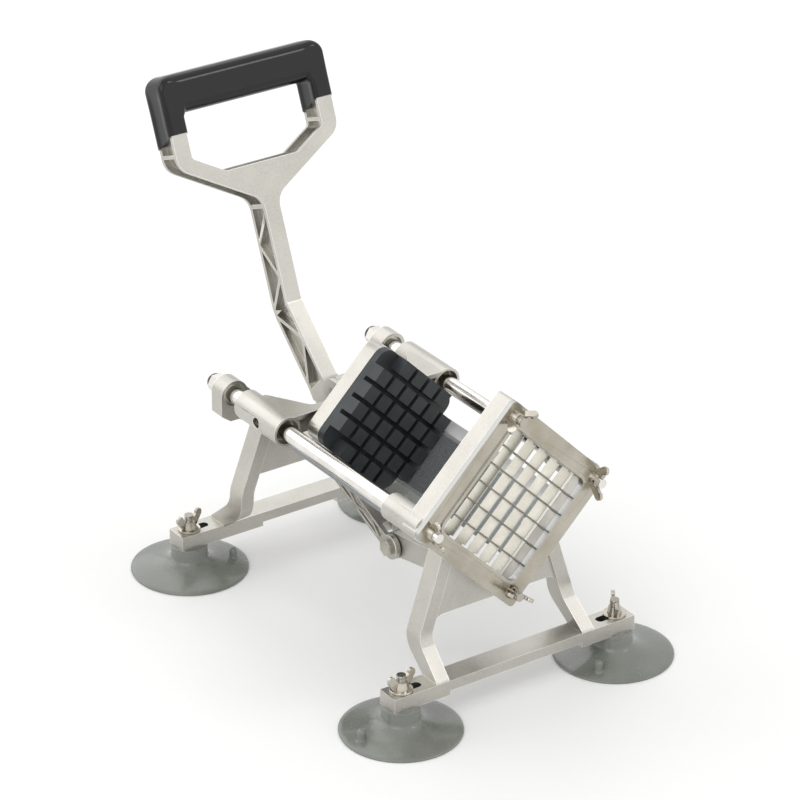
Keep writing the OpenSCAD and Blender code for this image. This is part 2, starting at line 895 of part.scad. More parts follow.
// One set of parallel blades, notched to half depth where the other set crosses
module blade_set(turn, notch_from, notch_to) {
    placed()
        difference() {
            union() {
                across(0, blade_depth)
                    on_edge()
                        rotate(turn)
                            at_blades()
                                square([blade_t, 2 * window_half - window_corner / 2], center = true);
                across(ring_y, blade_depth)
                    on_edge()
                        rotate(turn)
                            at_blades()
                                square([blade_t, 2 * (window_half + blade_tail)], center = true);
            }
            across(notch_from, notch_to)
                on_edge()
                    rotate(turn + quarter)
                        at_blades()
                            square([blade_t, 2 * window_half], center = true);
        }
}

module rising_blades() {
    color(steel)
        blade_set(0, blade_depth / 2, blade_depth + cut);
}

module falling_blades() {
    color(steel)
        blade_set(quarter, -cut, blade_depth / 2);
}

module blade_studs() {
    color(steel)
        placed()
            for (z = [-stud_out, stud_out])
                bar_y([0, axis_z + z], stud_r, -plate_lead - stud_lead, shoulder_y);
}

// A wing nut standing on Z = 0, bored for the radius given
module wing_nut(bore_r) {
    difference() {
        union() {
            cylinder(r1 = wing_hub_r, r2 = wing_hub_r - wing_t / 2, h = wing_hub_h);
            across(-wing_t / 2, wing_t / 2)
                for (side = [-1, 1]) {
                    translate([side * (wing_reach - wing_tip_r), wing_h - wing_tip_r])
                        circle(r = wing_tip_r);
                    polygon([
                        [side * bore_r, 0],
                        [side * (wing_hub_r + wing_t / 2), 0],
                        [side * wing_reach, wing_h - 1.5 * wing_tip_r],
                        [side * (wing_reach - 2 * wing_tip_r), wing_h - wing_tip_r],
                        [side * bore_r, wing_hub_h]
                    ]);
                }
        }
        translate([0, 0, -cut])
            cylinder(r = bore_r, h = wing_h + 2 * cut);
    }
}

// Turns of the wings of the nuts round the blades, starting at the top, clockwise
plate_nut_turns = [20, 75, 150, 100];

module blade_wing_nuts() {
    color(steel)
        placed()
            for (i = [0 : 3])
                translate([
                    (i % 2) * (2 - i) * rod_x,
                    -plate_lead,
                    axis_z + ((i + 1) % 2) * (1 - i) * stud_out
                ])
                    rotate([quarter, 0, 0])
                        rotate(plate_nut_turns[i])
                            wing_nut(i % 2 == 0 ? stud_r : rod_end_r);
}

// A round suction cup with its hub and pull tab, tab turned by an angle
module suction_cup(x, y, tab_angle) {
    color("#7d807b")
        placed()
            translate([x, y, 0])
                difference() {
                    union() {
                        rotate_extrude()
                            polygon([
                                [0, cup_hollow],
                                [hub_r, cup_hollow],
                                [cup_r - 2 * cup_rim_t, 0],
                                [cup_r, 0],
                                [cup_r, cup_rim_t],
                                [hub_r + cup_rise, cup_rise / 2],
                                [hub_r, cup_rise],
                                [hub_r, bar_low],
                                [0, bar_low]
                            ]);
                        rotate(tab_angle)
                            translate([tab_out, 0, cup_rim_t])
                                cylinder(r = tab_r, h = tab_top - cup_rim_t);
                    }
                    translate([0, 0, cup_rise])
                        cylinder(r = stud_head_r, h = stud_head_t);
                    translate([0, 0, cup_rise])
                        cylinder(r = stud_r, h = bar_low);
                }
}

// Turns of the pull tabs
front_left_tab = 180;
front_right_tab = 215;
rear_left_tab = -20;
rear_right_tab = 30;

module suction_cup_front_left() {
    suction_cup(-foot_x, 0, front_left_tab);
}

module suction_cup_front_right() {
    suction_cup(foot_x, 0, front_right_tab);
}

module suction_cup_rear_left() {
    suction_cup(-foot_x, foot_span_y, rear_left_tab);
}

module suction_cup_rear_right() {
    suction_cup(foot_x, foot_span_y, rear_right_tab);
}

// Places children over each foot
module at_feet() {
    placed()
        for (x = [-foot_x, foot_x], y = [0, foot_span_y])
            translate([x, y, 0])
                children();
}

module foot_studs() {
    color(steel)
        at_feet() {
            translate([0, 0, cup_rise])
                cylinder(r = stud_head_r, h = stud_head_t);
            translate([0, 0, cup_rise])
                cylinder(r = stud_r, h = stud_top - cup_rise);
        }
}

module foot_washers() {
    color(steel)
        at_feet()
            translate([0, 0, bar_top])
                difference() {
                    cylinder(r = washer_r, h = washer_t);
                    translate([0, 0, -cut])
                        cylinder(r = stud_r + stud_gap, h = washer_t + 2 * cut);
                }
}

// Turns of the foot wing nuts: front left, rear left, front right, rear right
foot_nut_turns = [10, 15, 60, 20];

module foot_wing_nuts() {
    feet = [for (x = [-foot_x, foot_x], y = [0, foot_span_y]) [x, y]];
    color(steel)
        placed()
            for (i = [0 : len(feet) - 1])
                translate([feet[i][0], feet[i][1], bar_top + washer_t])
                    rotate(foot_nut_turns[i])
                        wing_nut(stud_r);
}

// The top plate between the tubes of the pusher head, seen from above
module head_bridge_face() {
    polygon(outline(both([
        [rod_x, tube_y, 0],
        [rod_x, tube_y + bridge_side, 0],
        [rod_x - tube_r * cos(diamond_turn), tube_y + bridge_side, 0],
        [bridge_waist_x, tube_y + bridge_waist, block_corner],
        [core_x, tube_y + bridge_waist, 0]
    ])));
}

module pusher_head() {
    plate_y = block_y + post_len + block_base_t;
    color(cast)
        placed()
            difference() {
                union() {
                    across(plate_y, head_back)
                        on_edge()
                            polygon(outline(square_corners(block_half, block_corner)));
                    mirrored_x()
                        bar_y([rod_x, axis_z], tube_r, tube_y, tube_back);
                    translate([0, 0, head_top - bridge_t])
                        linear_extrude(bridge_t)
                            head_bridge_face();
                    translate([-rod_x, tube_y + rib_t, head_top - rib_h])
                        cube([2 * rod_x, rib_t, rib_h]);
                    translate([-core_x, head_back - cut, head_top - core_h])
                        cube([2 * core_x, core_depth + cut, core_h]);
                    beside(-ear_out, ear_out) {
                        translate([pivot_y, axis_z])
                            circle(r = ear_r);
                        translate([head_back, axis_z - ear_r])
                            square([pivot_y - head_back, 2 * ear_r]);
                    }
                }
                mirrored_x() {
                    bar_y([rod_x, axis_z], bushing_r, tube_y - cut, tube_back + cut);
                    bar_y([rod_x, axis_z], mouth_r, tube_y - cut, tube_y + mouth_depth);
                    bar_y([rod_x, axis_z], mouth_r, tube_back - mouth_depth, tube_back + cut);
                    bar_x([tube_y + oil_back, axis_z], oil_r, rod_x, rod_x + 2 * tube_r);
                }
                translate([-ear_in, head_back + core_depth, axis_z - 2 * ear_r])
                    cube([2 * ear_in, pivot_y, 4 * ear_r]);
                bar_x([pivot_y, axis_z], bolt_r, -ear_out - cut, ear_out + cut);
                for (x = [-1, 1], z = [-1, 1])
                    bar_y([x * screw_out, axis_z + z * screw_out], trough_screw_r, plate_y - cut, head_back + cut);
            }
}

module head_bushings() {
    color("#b08d57")
        placed()
            mirrored_x()
                for (y = [tube_y + mouth_depth, tube_back - mouth_depth - bushing_len])
                    difference() {
                        bar_y([rod_x, axis_z], bushing_r, y, y + bushing_len);
                        bar_y([rod_x, axis_z], rod_r + rod_gap, y - cut, y + bushing_len + cut);
                    }
}

module pusher_block() {
    base_y = block_y + post_len;
    color("#2d3134")
        placed()
            difference() {
                union() {
                    across(base_y, base_y + block_base_t)
                        on_edge()
                            polygon(outline(square_corners(block_half, block_corner)));
                    across(block_y, base_y)
                        on_edge()
                            for (i = [0 : chips - 1], j = [0 : chips - 1])
                                if ((i % (chips - 1) != 0) || (j % (chips - 1) != 0))
                                    translate([i * chip, j * chip] - [1, 1] * (chips - 1) * chip / 2)
                                        square(post_w, center = true);
                }
                for (x = [-1, 1], z = [-1, 1])
                    bar_y([x * screw_out, axis_z + z * screw_out], trough_screw_r, base_y + block_base_t / 2,
                        base_y + block_base_t + cut);
            }
}

module block_screws() {
    base_y = block_y + post_len;
    color(steel)
        placed()
            for (x = [-1, 1], z = [-1, 1]) {
                bar_y([x * screw_out, axis_z + z * screw_out], trough_screw_r, base_y + block_base_t / 2, head_back);
                bar_y([x * screw_out, axis_z + z * screw_out], 2 * trough_screw_r, head_back, head_back + trough_screw_r);
            }
}

module pivot_bolt() {
    color(steel)
        at_pivot() {
            bar_x([0, 0], bolt_r, -ear_out, ear_out);
            translate([ear_out, 0, 0])
                rotate([0, quarter, 0])
                    cylinder(r = bolt_head_r / cos(half_turn / hex_sides), h = bolt_head_t, $fn = hex_sides);
        }
}

// A point of the lower stem, measured down from the knee and across towards the rear
function low_point(down, back) = knee - low_dir * down + low_side * back;

// The wide part of the lever seen from the side, below the upper stem
module lever_low_face() {
    strip(low_point(low_len, 0), knee, low_depth);
    translate(knee)
        circle(r = (low_depth + top_depth) / 4);
    polygon([
        low_point(low_len, -low_depth / 2),
        low_point(low_len - cut, low_depth / 2),
        heel,
        unit(lever_end) * (eye_r + arm_w / 2),
        [0, 0]
    ]);
    circle(r = eye_r);
}

// The narrow lower arm of the lever seen from the side
module lever_arm_face() {
    circle(r = eye_r);
    strip([0, 0], lever_end, arm_w);
    translate(lever_end)
        circle(r = end_eye_r);
    polygon([[0, 0], heel, lever_end + [end_eye_r / 2, 0]]);
}

// Draws a shape across the leaning handle: X, then distance from the pivot; from depth t0 to t1
module on_handle(t0, t1) {
    rotate([quarter - top_lean, 0, 0])
        translate([0, 0, -front_off - t1])
            linear_extrude(t1 - t0)
                children();
}

// Height of the handle's outer shoulder at x, moved in by some width
function shoulder(x, inset) = d_low + x * tan(d_slope) + inset / cos(d_slope);

// Height of the sloping sides of the handle's opening at x, moved out by some width
function opening_side(x, inset) = d_floor + (x - d_floor_x) * tan(d_slope) - inset / cos(d_slope);

// The face of the D-shaped handle, with the band narrowed by some width on both sides
module d_face(inset) {
    difference() {
        polygon(outline(both([
            [d_out_x - inset, d_top, 0],
            [d_out_x - inset, shoulder(d_out_x - inset, inset), d_round],
            [stem_x - inset, shoulder(stem_x - inset, inset), d_round],
            [stem_x - inset, shoulder(0, 0) - d_round, 0]
        ])));
        polygon(outline(both([
            [d_in_x + inset, d_top - d_bar_h - inset, 0],
            [d_in_x + inset, opening_side(d_in_x + inset, inset), d_round / 4],
            [d_floor_x + inset * (1 / cos(d_slope) - 1) / tan(d_slope), d_floor - inset, d_round / 4]
        ])));
    }
}

// The metal inside the grip
module grip_core() {
    on_handle(lever_flange, top_depth - lever_flange)
        translate([-d_out_x, d_top - d_bar_h])
            square([2 * d_out_x, d_bar_h]);
    on_handle(0, top_depth)
        mirrored_x()
            translate([d_in_x, sleeve_front])
                square([d_out_x - d_in_x, d_top - d_bar_h / 2 - sleeve_front]);
}

module handle_frame() {
    intersection() {
        union() {
            on_handle(0, lever_flange)
                d_face(0);
            on_handle(top_depth - lever_flange, top_depth)
                d_face(0);
            on_handle(0, top_depth)
                d_face(stem_x - lever_web);
        }
        on_handle(0, top_depth)
            translate([-d_out_x, 0])
                square([2 * d_out_x, grip_low]);
    }
    on_handle(0, top_depth)
        mirrored_x()
            translate([d_in_x, d_rib_up])
                square([d_out_x - d_in_x, lever_rib]);
    on_handle(0, top_depth)
        translate([-stem_x, shoulder(0, 0) - lever_rib])
            square([2 * stem_x, lever_rib]);
}

// The zigzag of slanted ribs in the sides of the stem
module stem_ribs() {
    top_dir = [sin(top_lean), cos(top_lean)];
    top_side = [cos(top_lean), -sin(top_lean)];
    half_top = (top_depth - lever_flange) / 2;
    half_low = (low_depth - lever_flange) / 2;
    top_zero = [front_off * cos(top_lean), -front_off * sin(top_lean)] + top_side * top_depth / 2;
    top_nodes = [for (i = [0 : 3]) top_zero + top_dir * (knee_up + i * top_rib_pitch)
        + top_side * half_top * (i % 2 == 0 ? 1 : -1)];
    low_nodes = [for (i = [0 : 2]) low_point(i * low_rib_pitch, half_low * (i % 2 == 0 ? 1 : -1))];
    for (i = [0 : 2])
        strip(top_nodes[i], top_nodes[i + 1], lever_rib);
    for (i = [0 : 1])
        strip(low_nodes[i], low_nodes[i + 1], lever_rib);
}

module lever() {
    color(cast)
        at_pivot()
            difference() {
                union() {
                    difference() {
                        union() {
                            beside(-stem_x, stem_x)
                                lever_low_face();
                            on_handle(0, top_depth)
                                translate([-stem_x, knee_up])
                                    square([2 * stem_x, shoulder(0, 0) - knee_up]);
                        }
                        mirrored_x() {
                            beside(lever_web, 2 * stem_x)
                                strip(low_point(low_len, 0), low_point(0, 0), low_depth - 2 * lever_flange);
                            translate([lever_web, 0, 0])
                                on_handle(lever_flange, top_depth - lever_flange)
                                    translate([0, knee_up])
                                        square([2 * stem_x, shoulder(0, 0) - knee_up - lever_flange]);
                        }
                    }
                    beside(-stem_x, stem_x)
                        stem_ribs();
                    beside(-neck_x, neck_x)
                        lever_arm_face();
                    handle_frame();
                    grip_core();
                }
                mirrored_x()
                    bar_x([0, 0], ear_r + 3 * side_gap, neck_x, 2 * stem_x);
                bar_x([0, 0], bolt_r + bolt_gap, -2 * stem_x, 2 * stem_x);
                bar_x(lever_end, bolt_r, -2 * stem_x, 2 * stem_x);
            }
}

module handle_grip() {
    color("#1b1c1e")
        at_pivot()
            difference() {
                intersection() {
                    on_handle(-sleeve_t, top_depth + sleeve_t)
                        grip_face();
                    rotate([quarter - top_lean, 0, 0])
                        beside(-2 * d_out_x, 2 * d_out_x)
                            grip_side();
                }
                grip_core();
                handle_frame();
            }
}

// The grip and its two sleeves seen across the handle
module grip_face() {
    difference() {
        polygon(outline(both([
            [d_out_x + sleeve_t, grip_top, grip_corner],
            [d_out_x + sleeve_t, d_low, 0]
        ])));
        translate([sleeve_t - d_in_x, d_low - cut])
            square([2 * (d_in_x - sleeve_t), grip_low - d_low + cut]);
    }
}

// The grip seen from the side: distance from the pivot, then depth, with the slanted ends of the sleeves
module grip_side() {
    front = sleeve_t - front_off;
    back = -front_off - top_depth - sleeve_t;
    polygon(outline([
        [grip_top, front, grip_round],
        [sleeve_front + sleeve_t * tan(sleeve_tilt), front, 0],
        [sleeve_front - (top_depth + sleeve_t) * tan(sleeve_tilt), back, 0],
        [grip_top, back, grip_round]
    ]));
}

// The bush pressed into the end of the lever's lower arm
module lever_end_bush() {
    color(steel)
        at_pivot()
            bar_x(lever_end, bolt_r, -neck_x, neck_x);
}

// Moves a shape drawn along +X from the link's lower pivot into place, in Y and Z
module on_link() {
    translate(anchor)
        rotate(link_angle)
            children();
}

// One cheek of the link seen from the side
module cheek_face() {
    on_link() {
        circle(r = link_eye_r);
        strip([0, 0], [link_len, 0], link_w);
        translate([link_len, 0])
            circle(r = link_eye_r);
    }
}

// The hollows in the side of a cheek, between its zigzag ribs
module cheek_pockets() {
    half = link_w / 2 - link_pocket;
    from = link_eye_r + link_pocket;
    bay = (link_len - 2 * from) / link_bays;
    on_link()
        difference() {
            strip([from, 0], [link_len - from, 0], 2 * half);
            for (i = [0 : link_bays - 1])
                strip(
                    [from + i * bay, (i % 2 == 0 ? -1 : 1) * half],
                    [from + (i + 1) * bay, (i % 2 == 0 ? 1 : -1) * half],
                    link_pocket
                );
        }
}

module link() {
    color(cast)
        at_pivot()
            difference() {
                union() {
                    mirrored_x()
                        beside(cheek_in, cheek_out)
                            cheek_face();
                    beside(-cheek_out, cheek_out)
                        on_link()
                            strip([bridge_from, 0], [bridge_to, 0], link_w);
                }
                mirrored_x()
                    beside(cheek_out - link_pocket, cheek_out + cut)
                        cheek_pockets();
                for (end = [anchor, lever_end])
                    bar_x(end, bolt_r, -2 * cheek_out, 2 * cheek_out);
            }
}

module link_bolt() {
    color(steel)
        at_pivot() {
            bar_x(anchor, bolt_r, -cheek_out, cheek_out + bolt_head_t);
            translate([-cheek_out - bolt_head_t, anchor[0], anchor[1]])
                rotate([0, quarter, 0])
                    cylinder(r = bolt_head_r / cos(half_turn / hex_sides), h = bolt_head_t, $fn = hex_sides);
        }
}

module link_nut() {
    color(steel)
        at_pivot()
            translate([cheek_out, anchor[0], anchor[1]])
                rotate([0, quarter, 0])
                    difference() {
                        cylinder(r = bolt_head_r / cos(half_turn / hex_sides), h = bolt_head_t, $fn = hex_sides);
                        translate([0, 0, -cut])
                            cylinder(r = bolt_r, h = bolt_head_t + 2 * cut);
                    }
}

// The two flush pins in the fork at the upper end of the link
module link_end_pins() {
    color(steel)
        at_pivot()
            mirrored_x()
                bar_x(lever_end, bolt_r, cheek_in, cheek_out);
}

front_casting();
rear_casting();
trough_left();
trough_right();
trough_screws();
guide_rod_left();
guide_rod_right();
rod_acorn_nuts();
blade_plate();
blade_cartridge();
rising_blades();
falling_blades();
blade_studs();
blade_wing_nuts();
suction_cup_front_left();
suction_cup_front_right();
suction_cup_rear_left();
suction_cup_rear_right();
foot_studs();
foot_washers();
foot_wing_nuts();
pusher_head();
head_bushings();
pusher_block();
block_screws();
pivot_bolt();
lever();
handle_grip();
lever_end_bush();
link();
link_bolt();
link_nut();
link_end_pins();
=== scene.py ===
# %% [markdown]
# # French fry cutter
#
# A bench cutter for potatoes: a square grid of blades in a cast front frame, a pusher that slides on
# two rods, and a long lever with a D-shaped handle. The solids come from the CAD model. This script
# gives each of them the look that the real piece has: cast aluminium with soft edges and grain,
# polished rods, stamped stainless blades, moulded vinyl. It works in metres, in the frame of the CAD
# model.

import json
import math

import bmesh
import bpy
from mathutils import Matrix, Vector


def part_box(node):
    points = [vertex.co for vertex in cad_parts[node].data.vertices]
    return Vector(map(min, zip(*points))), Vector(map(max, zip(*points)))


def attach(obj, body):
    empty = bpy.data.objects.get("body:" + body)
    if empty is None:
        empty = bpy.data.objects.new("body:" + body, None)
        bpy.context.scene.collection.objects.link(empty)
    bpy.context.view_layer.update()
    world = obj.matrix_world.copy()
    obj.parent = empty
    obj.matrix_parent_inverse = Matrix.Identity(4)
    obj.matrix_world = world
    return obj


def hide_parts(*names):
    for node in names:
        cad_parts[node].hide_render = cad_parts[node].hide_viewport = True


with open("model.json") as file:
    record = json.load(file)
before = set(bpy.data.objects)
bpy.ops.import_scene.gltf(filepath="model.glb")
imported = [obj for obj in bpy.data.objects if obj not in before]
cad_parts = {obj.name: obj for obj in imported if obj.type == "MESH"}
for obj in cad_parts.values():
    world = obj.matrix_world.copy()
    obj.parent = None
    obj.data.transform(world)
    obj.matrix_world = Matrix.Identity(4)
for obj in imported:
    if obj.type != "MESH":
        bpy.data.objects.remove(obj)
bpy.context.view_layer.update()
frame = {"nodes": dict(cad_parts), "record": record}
nodes = frame["nodes"]
MM = 0.001

# %% [markdown]
# ## Measures
#
# The drawing measures depth from the front edges of the blades, so that y = 0 is the front of the blade
# grid, and the middle of the front feet. The frame that the model is delivered in has its origin under
# the middle of the box. `at` turns a place from the drawing, in millimetres, into that frame. The rods,
# the middle of the grid and the lever's pivot all stand at one height.

# %% Places in the drawing
BLADES_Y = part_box("falling_blades")[0].y
AXIS_UP = 131.2
FOOT_ACROSS = 81
FOOT_BACK = 242


def at(x, y, z):
    """A place of the drawing, in millimetres, as a place of the model, in metres."""
    return Vector((x * MM, BLADES_Y + y * MM, z * MM))


print("the blades stand", round(-BLADES_Y / MM, 2), "mm in front of the middle of the model")

# %% [markdown]
# ## Colours
#
# Colours are written as the hex values that a colour picker gives. Blender's shaders reckon in linear
# light, so one function turns each of them into it.

# %% Hex colours to linear light


def linear(code):
    """The linear colour, with an alpha of 1, of an sRGB hex value."""
    values = [int(code[i : i + 2], 16) / 255 for i in (1, 3, 5)]
    return tuple(v / 12.92 if v <= 0.04045 else ((v + 0.055) / 1.055) ** 2.4 for v in values) + (1.0,)


print("a middle grey is", round(linear("#808080")[0], 3), "in linear light")

# %% [markdown]
# ## Nodes
#
# A material can be put together by hand in the shader editor, but a script makes the same one each
# time. One small function adds a node with its settings and its links, so that each material reads as a
# short list. Every pattern reads the object's own coordinates, in metres: so a grain has its real size
# on each piece, and it stays on the piece when the piece moves.

# %% Add a node, start a material
SOCKETS = {"colour": "Base Color", "rough": "Roughness", "metal": "Metallic", "normal": "Normal"}


def add(tree, kind, inputs=None, **settings):
    """A node with its settings; an input is a value, or an output socket to link."""
    node = tree.nodes.new(kind)
    for name, value in settings.items():
        setattr(node, name, value)
    for name, value in (inputs or {}).items():
        if isinstance(value, bpy.types.NodeSocket):
            tree.links.new(value, node.inputs[name])
        else:
            node.inputs[name].default_value = value
    return node


def start(name):
    """A new material, with its Principled shader and the object's own coordinates in metres."""
    made = bpy.data.materials.new(name)
    made.use_nodes = True
    tree = made.node_tree
    tree.nodes.clear()
    shader = add(tree, "ShaderNodeBsdfPrincipled")
    out = add(tree, "ShaderNodeOutputMaterial")
    tree.links.new(shader.outputs["BSDF"], out.inputs["Surface"])
    place = add(tree, "ShaderNodeTexCoord").outputs["Object"]
    return made, tree, shader, place


def link(tree, shader, **inputs):
    """Gives the shader values, hex colours or patterns, by the plain names in SOCKETS."""
    for key, value in inputs.items():
        socket = shader.inputs[SOCKETS[key]]
        if isinstance(value, bpy.types.NodeSocket):
            tree.links.new(value, socket)
        elif isinstance(value, str):
            socket.default_value = linear(value)
        else:
            socket.default_value = value


print(len(SOCKETS), "sockets of the shader have a plain name")

# %% [markdown]
# ## Patterns
#
# Noise is the raw material of every finish here. It needs no picture, has no seams, and covers a piece
# from all sides alike. Its values crowd round 0.5, so only the middle of them is used, spread over the
# range that a colour or a roughness needs. A bump bends the light on the surface without moving it,
# which is enough for a grain that is less than a tenth of a millimetre deep.

# %% Noise, ranges, colours and bumps


def noise(tree, place, size_mm, detail=3.0, rough=0.55, stretch=(1, 1, 1)):
    """Noise with features of about size_mm; stretch makes them longer along an axis."""
    if stretch != (1, 1, 1):
        scale = tuple(1 / s for s in stretch)
        place = add(tree, "ShaderNodeMapping", {"Vector": place, "Scale": scale}).outputs["Vector"]
    return add(
        tree,
        "ShaderNodeTexNoise",
        {"Vector": place, "Scale": 1 / (size_mm * MM), "Detail": detail, "Roughness": rough},
    ).outputs["Fac"]


def ranged(tree, value, low, high, to_low, to_high):
    """Runs from to_low to to_high while the value runs from low to high."""
    return add(
        tree,
        "ShaderNodeMapRange",
        {"Value": value, "From Min": low, "From Max": high, "To Min": to_low, "To Max": to_high},
    ).outputs["Result"]


def spread(tree, pattern, to_low, to_high, half=0.2):
    """The values of a noise within half of 0.5, spread over a range."""
    return ranged(tree, pattern, 0.5 - half, 0.5 + half, to_low, to_high)


def blended(tree, share, first, second):
    """A colour between two hex colours or colour sockets."""
    node = add(tree, "ShaderNodeMix", {"Factor": share}, data_type="RGBA")
    for slot, colour in (("A", first), ("B", second)):
        socket = next(s for s in node.inputs if s.name == slot and s.type == "RGBA")
        if isinstance(colour, str):
            socket.default_value = linear(colour)
        else:
            tree.links.new(colour, socket)
    return next(s for s in node.outputs if s.type == "RGBA")


def bump(tree, height, depth_mm, before=None):
    """A normal bent by a pattern of some depth, on top of the bump before it."""
    inputs = {"Height": height, "Distance": depth_mm * MM, "Strength": 1.0}
    if before is not None:
        inputs["Normal"] = before
    return add(tree, "ShaderNodeBump", inputs).outputs["Normal"]


print("features of 1 mm need a noise scale of", round(1 / MM))

# %% [markdown]
# ## Cast aluminium
#
# The frames, the pusher's head, the lever and the link are sand-cast or die-cast aluminium, tumbled and
# left bare. A picture of a casting would show seams where it repeats, so the finish is three layers of
# noise: areas of some 30 mm that drift from dull to bright, the grain, and soft dents of 3 mm from the
# tumbling. The edges get a painted highlight, a near-white colour. They are found by comparing the
# surface's normal with the one that a rounded edge would have. To the eye it is a satin pale grey, rough
# enough to mirror nothing sharply.

# %% Cast aluminium
SAME_NORMAL, EDGE_NORMAL = 0.99, 0.86
DULL_AREAS_MM = 30
TUMBLE_MM, TUMBLE_DEPTH = 3.2, 0.08
EDGE_HIGHLIGHT_MM = 0.7
# The real grain is finer than half a millimetre; it is drawn coarser, so that it shows.
CAST_GRAIN_MM, CAST_GRAIN_DEPTH = 1.1, 0.08


def edge_highlight_mask(tree, reach_mm):
    """How close a point is to an edge, where the painted highlight goes: the normal of a rounded edge
    compared with the true normal.
    """
    round_normal = add(tree, "ShaderNodeBevel", {"Radius": reach_mm * MM}, samples=4).outputs["Normal"]
    true_normal = add(tree, "ShaderNodeNewGeometry").outputs["Normal"]
    same = add(tree, "ShaderNodeVectorMath", {0: round_normal, 1: true_normal}, operation="DOT_PRODUCT")
    return ranged(tree, same.outputs["Value"], SAME_NORMAL, EDGE_NORMAL, 0, 1)


def cast_aluminium(name, dark, light, edge, rough):
    """Tumbled casting in three colours: its dull areas, its bright grain and a painted highlight on its
    edges.
    """
    made, tree, shader, place = start(name)
    drift = noise(tree, place, DULL_AREAS_MM, detail=3)
    speck = noise(tree, place, CAST_GRAIN_MM, detail=4, rough=0.7)
    base = blended(tree, spread(tree, drift, 0, 0.45, half=0.15), dark, light)
    colour = blended(tree, spread(tree, speck, 0.2, 0.8), base, light)
    painted_edge_highlight = edge_highlight_mask(tree, EDGE_HIGHLIGHT_MM)
    # the edge colour is a painted highlight, laid along the edges by the edge mask
    link(tree, shader, colour=blended(tree, painted_edge_highlight, colour, edge), metal=1.0)
    link(tree, shader, rough=spread(tree, speck, rough - 0.08, rough + 0.08))
    tumbled = bump(tree, noise(tree, place, TUMBLE_MM, detail=2), TUMBLE_DEPTH)
    link(tree, shader, normal=bump(tree, speck, CAST_GRAIN_DEPTH, tumbled))
    return made


# f6f5f1 is the colour of the painted edge highlight
CAST = cast_aluminium("cast_aluminium_tumbled", "#a4a19a", "#ccc9c2", "#f6f5f1", rough=0.35)
print(CAST.name)

# %% [markdown]
# ## Brushed and turned metal
#
# The guide rods are ground and polished along a lathe, so their fine marks run round them, and they
# mirror the room in narrow streaks. The blade plate is stainless sheet, brushed across, and its sheared
# edges show a colder grey than its face. Its holder and the blades have marks from front to back. The
# set of blades that is seen edge-on is the same strip in darker colours, painted shade. Nuts and screws
# are bright cast or turned steel, and the bushings are brown bronze. All of these are one noise, stretched
# along its marks. Brush marks are a few hundredths of a millimetre wide. Those of the rods and bushings
# stay that fine and only dull the surface a little; the others are drawn 0.25 mm wide, so that they show.

# %% Brushed steel and bronze
STEEL_AREAS_MM = 22
MARK_DEPTH = 0.004
# The colour turns to that of a cut side while the forward part of the normal falls between these.
SIDE_FROM, SIDE_FULL = 0.75, 0.55


def brushed_steel(name, dark, light, rough, stretch, mark_mm=0.25, cut_edge=None):
    """Bare metal with marks along the large values of stretch; its cut sides may have their own colour."""
    made, tree, shader, place = start(name)
    marks = noise(tree, place, mark_mm, detail=2, stretch=stretch)
    drift = noise(tree, place, STEEL_AREAS_MM, detail=2)
    colour = blended(tree, spread(tree, drift, 0, 1, half=0.15), dark, light)
    if cut_edge:
        normal = add(tree, "ShaderNodeNewGeometry").outputs["Normal"]
        facing = add(tree, "ShaderNodeSeparateXYZ", {"Vector": normal}).outputs["Y"]
        ahead = add(tree, "ShaderNodeMath", {0: facing}, operation="ABSOLUTE").outputs["Value"]
        colour = blended(tree, ranged(tree, ahead, SIDE_FROM, SIDE_FULL, 0, 1), colour, cut_edge)
    link(tree, shader, colour=colour, metal=1.0)
    link(tree, shader, rough=spread(tree, marks, rough - 0.04, rough + 0.06))
    link(tree, shader, normal=bump(tree, marks, MARK_DEPTH))
    return made


ROUND_THE_ROD = (1, 0.08, 1)
ROUND_THE_BUSH = (1, 0.1, 1)
ACROSS = (12, 1, 1)
FRONT_TO_BACK = (1, 8, 1)
EVEN = (1, 1, 1)
ROD = brushed_steel("guide_rod_polished", "#d9d6d0", "#ece9e4", 0.16, ROUND_THE_ROD)
PLATE = brushed_steel("blade_plate_stainless", "#a9a395", "#bab5a9", 0.27, ACROSS, cut_edge="#a9a9a7")
HOLDER = brushed_steel("blade_holder_stainless", "#8d8a84", "#a5a29b", 0.3, FRONT_TO_BACK)
BLADE = brushed_steel("blade_strip_stainless", "#a6a398", "#b8b5ab", 0.28, FRONT_TO_BACK)
# painted shade: the blade finish in darker colours, for the set of blades seen edge-on
BLADE_PAINTED_SHADE = brushed_steel("blade_strip_stainless_painted_shade", "#77736b", "#8d8980", 0.3, FRONT_TO_BACK)
BRIGHT = brushed_steel("nut_and_screw_steel", "#a9a397", "#c9c4ba", 0.17, EVEN, mark_mm=0.8)
BRONZE = brushed_steel("bushing_bronze", "#6a5f4c", "#877a63", 0.34, ROUND_THE_BUSH)
print(len(bpy.data.materials), "materials so far")

# %% [markdown]
# ## Threaded steel
#
# Where a stud passes through its nut the thread is hardly seen, so a wave texture draws it there.
# Blender's wave texture makes 10 / pi ridges for each unit of its scale, so pi / 10 mm gives one ridge
# each millimetre. The crests are painted lighter and the grooves darker, a painted highlight and painted
# shade, so to the eye the stud turns from one bright line into a row of light and dark lines.

# %% Threaded steel
RIDGE_MM, RIDGE_DEPTH = 1, 0.25


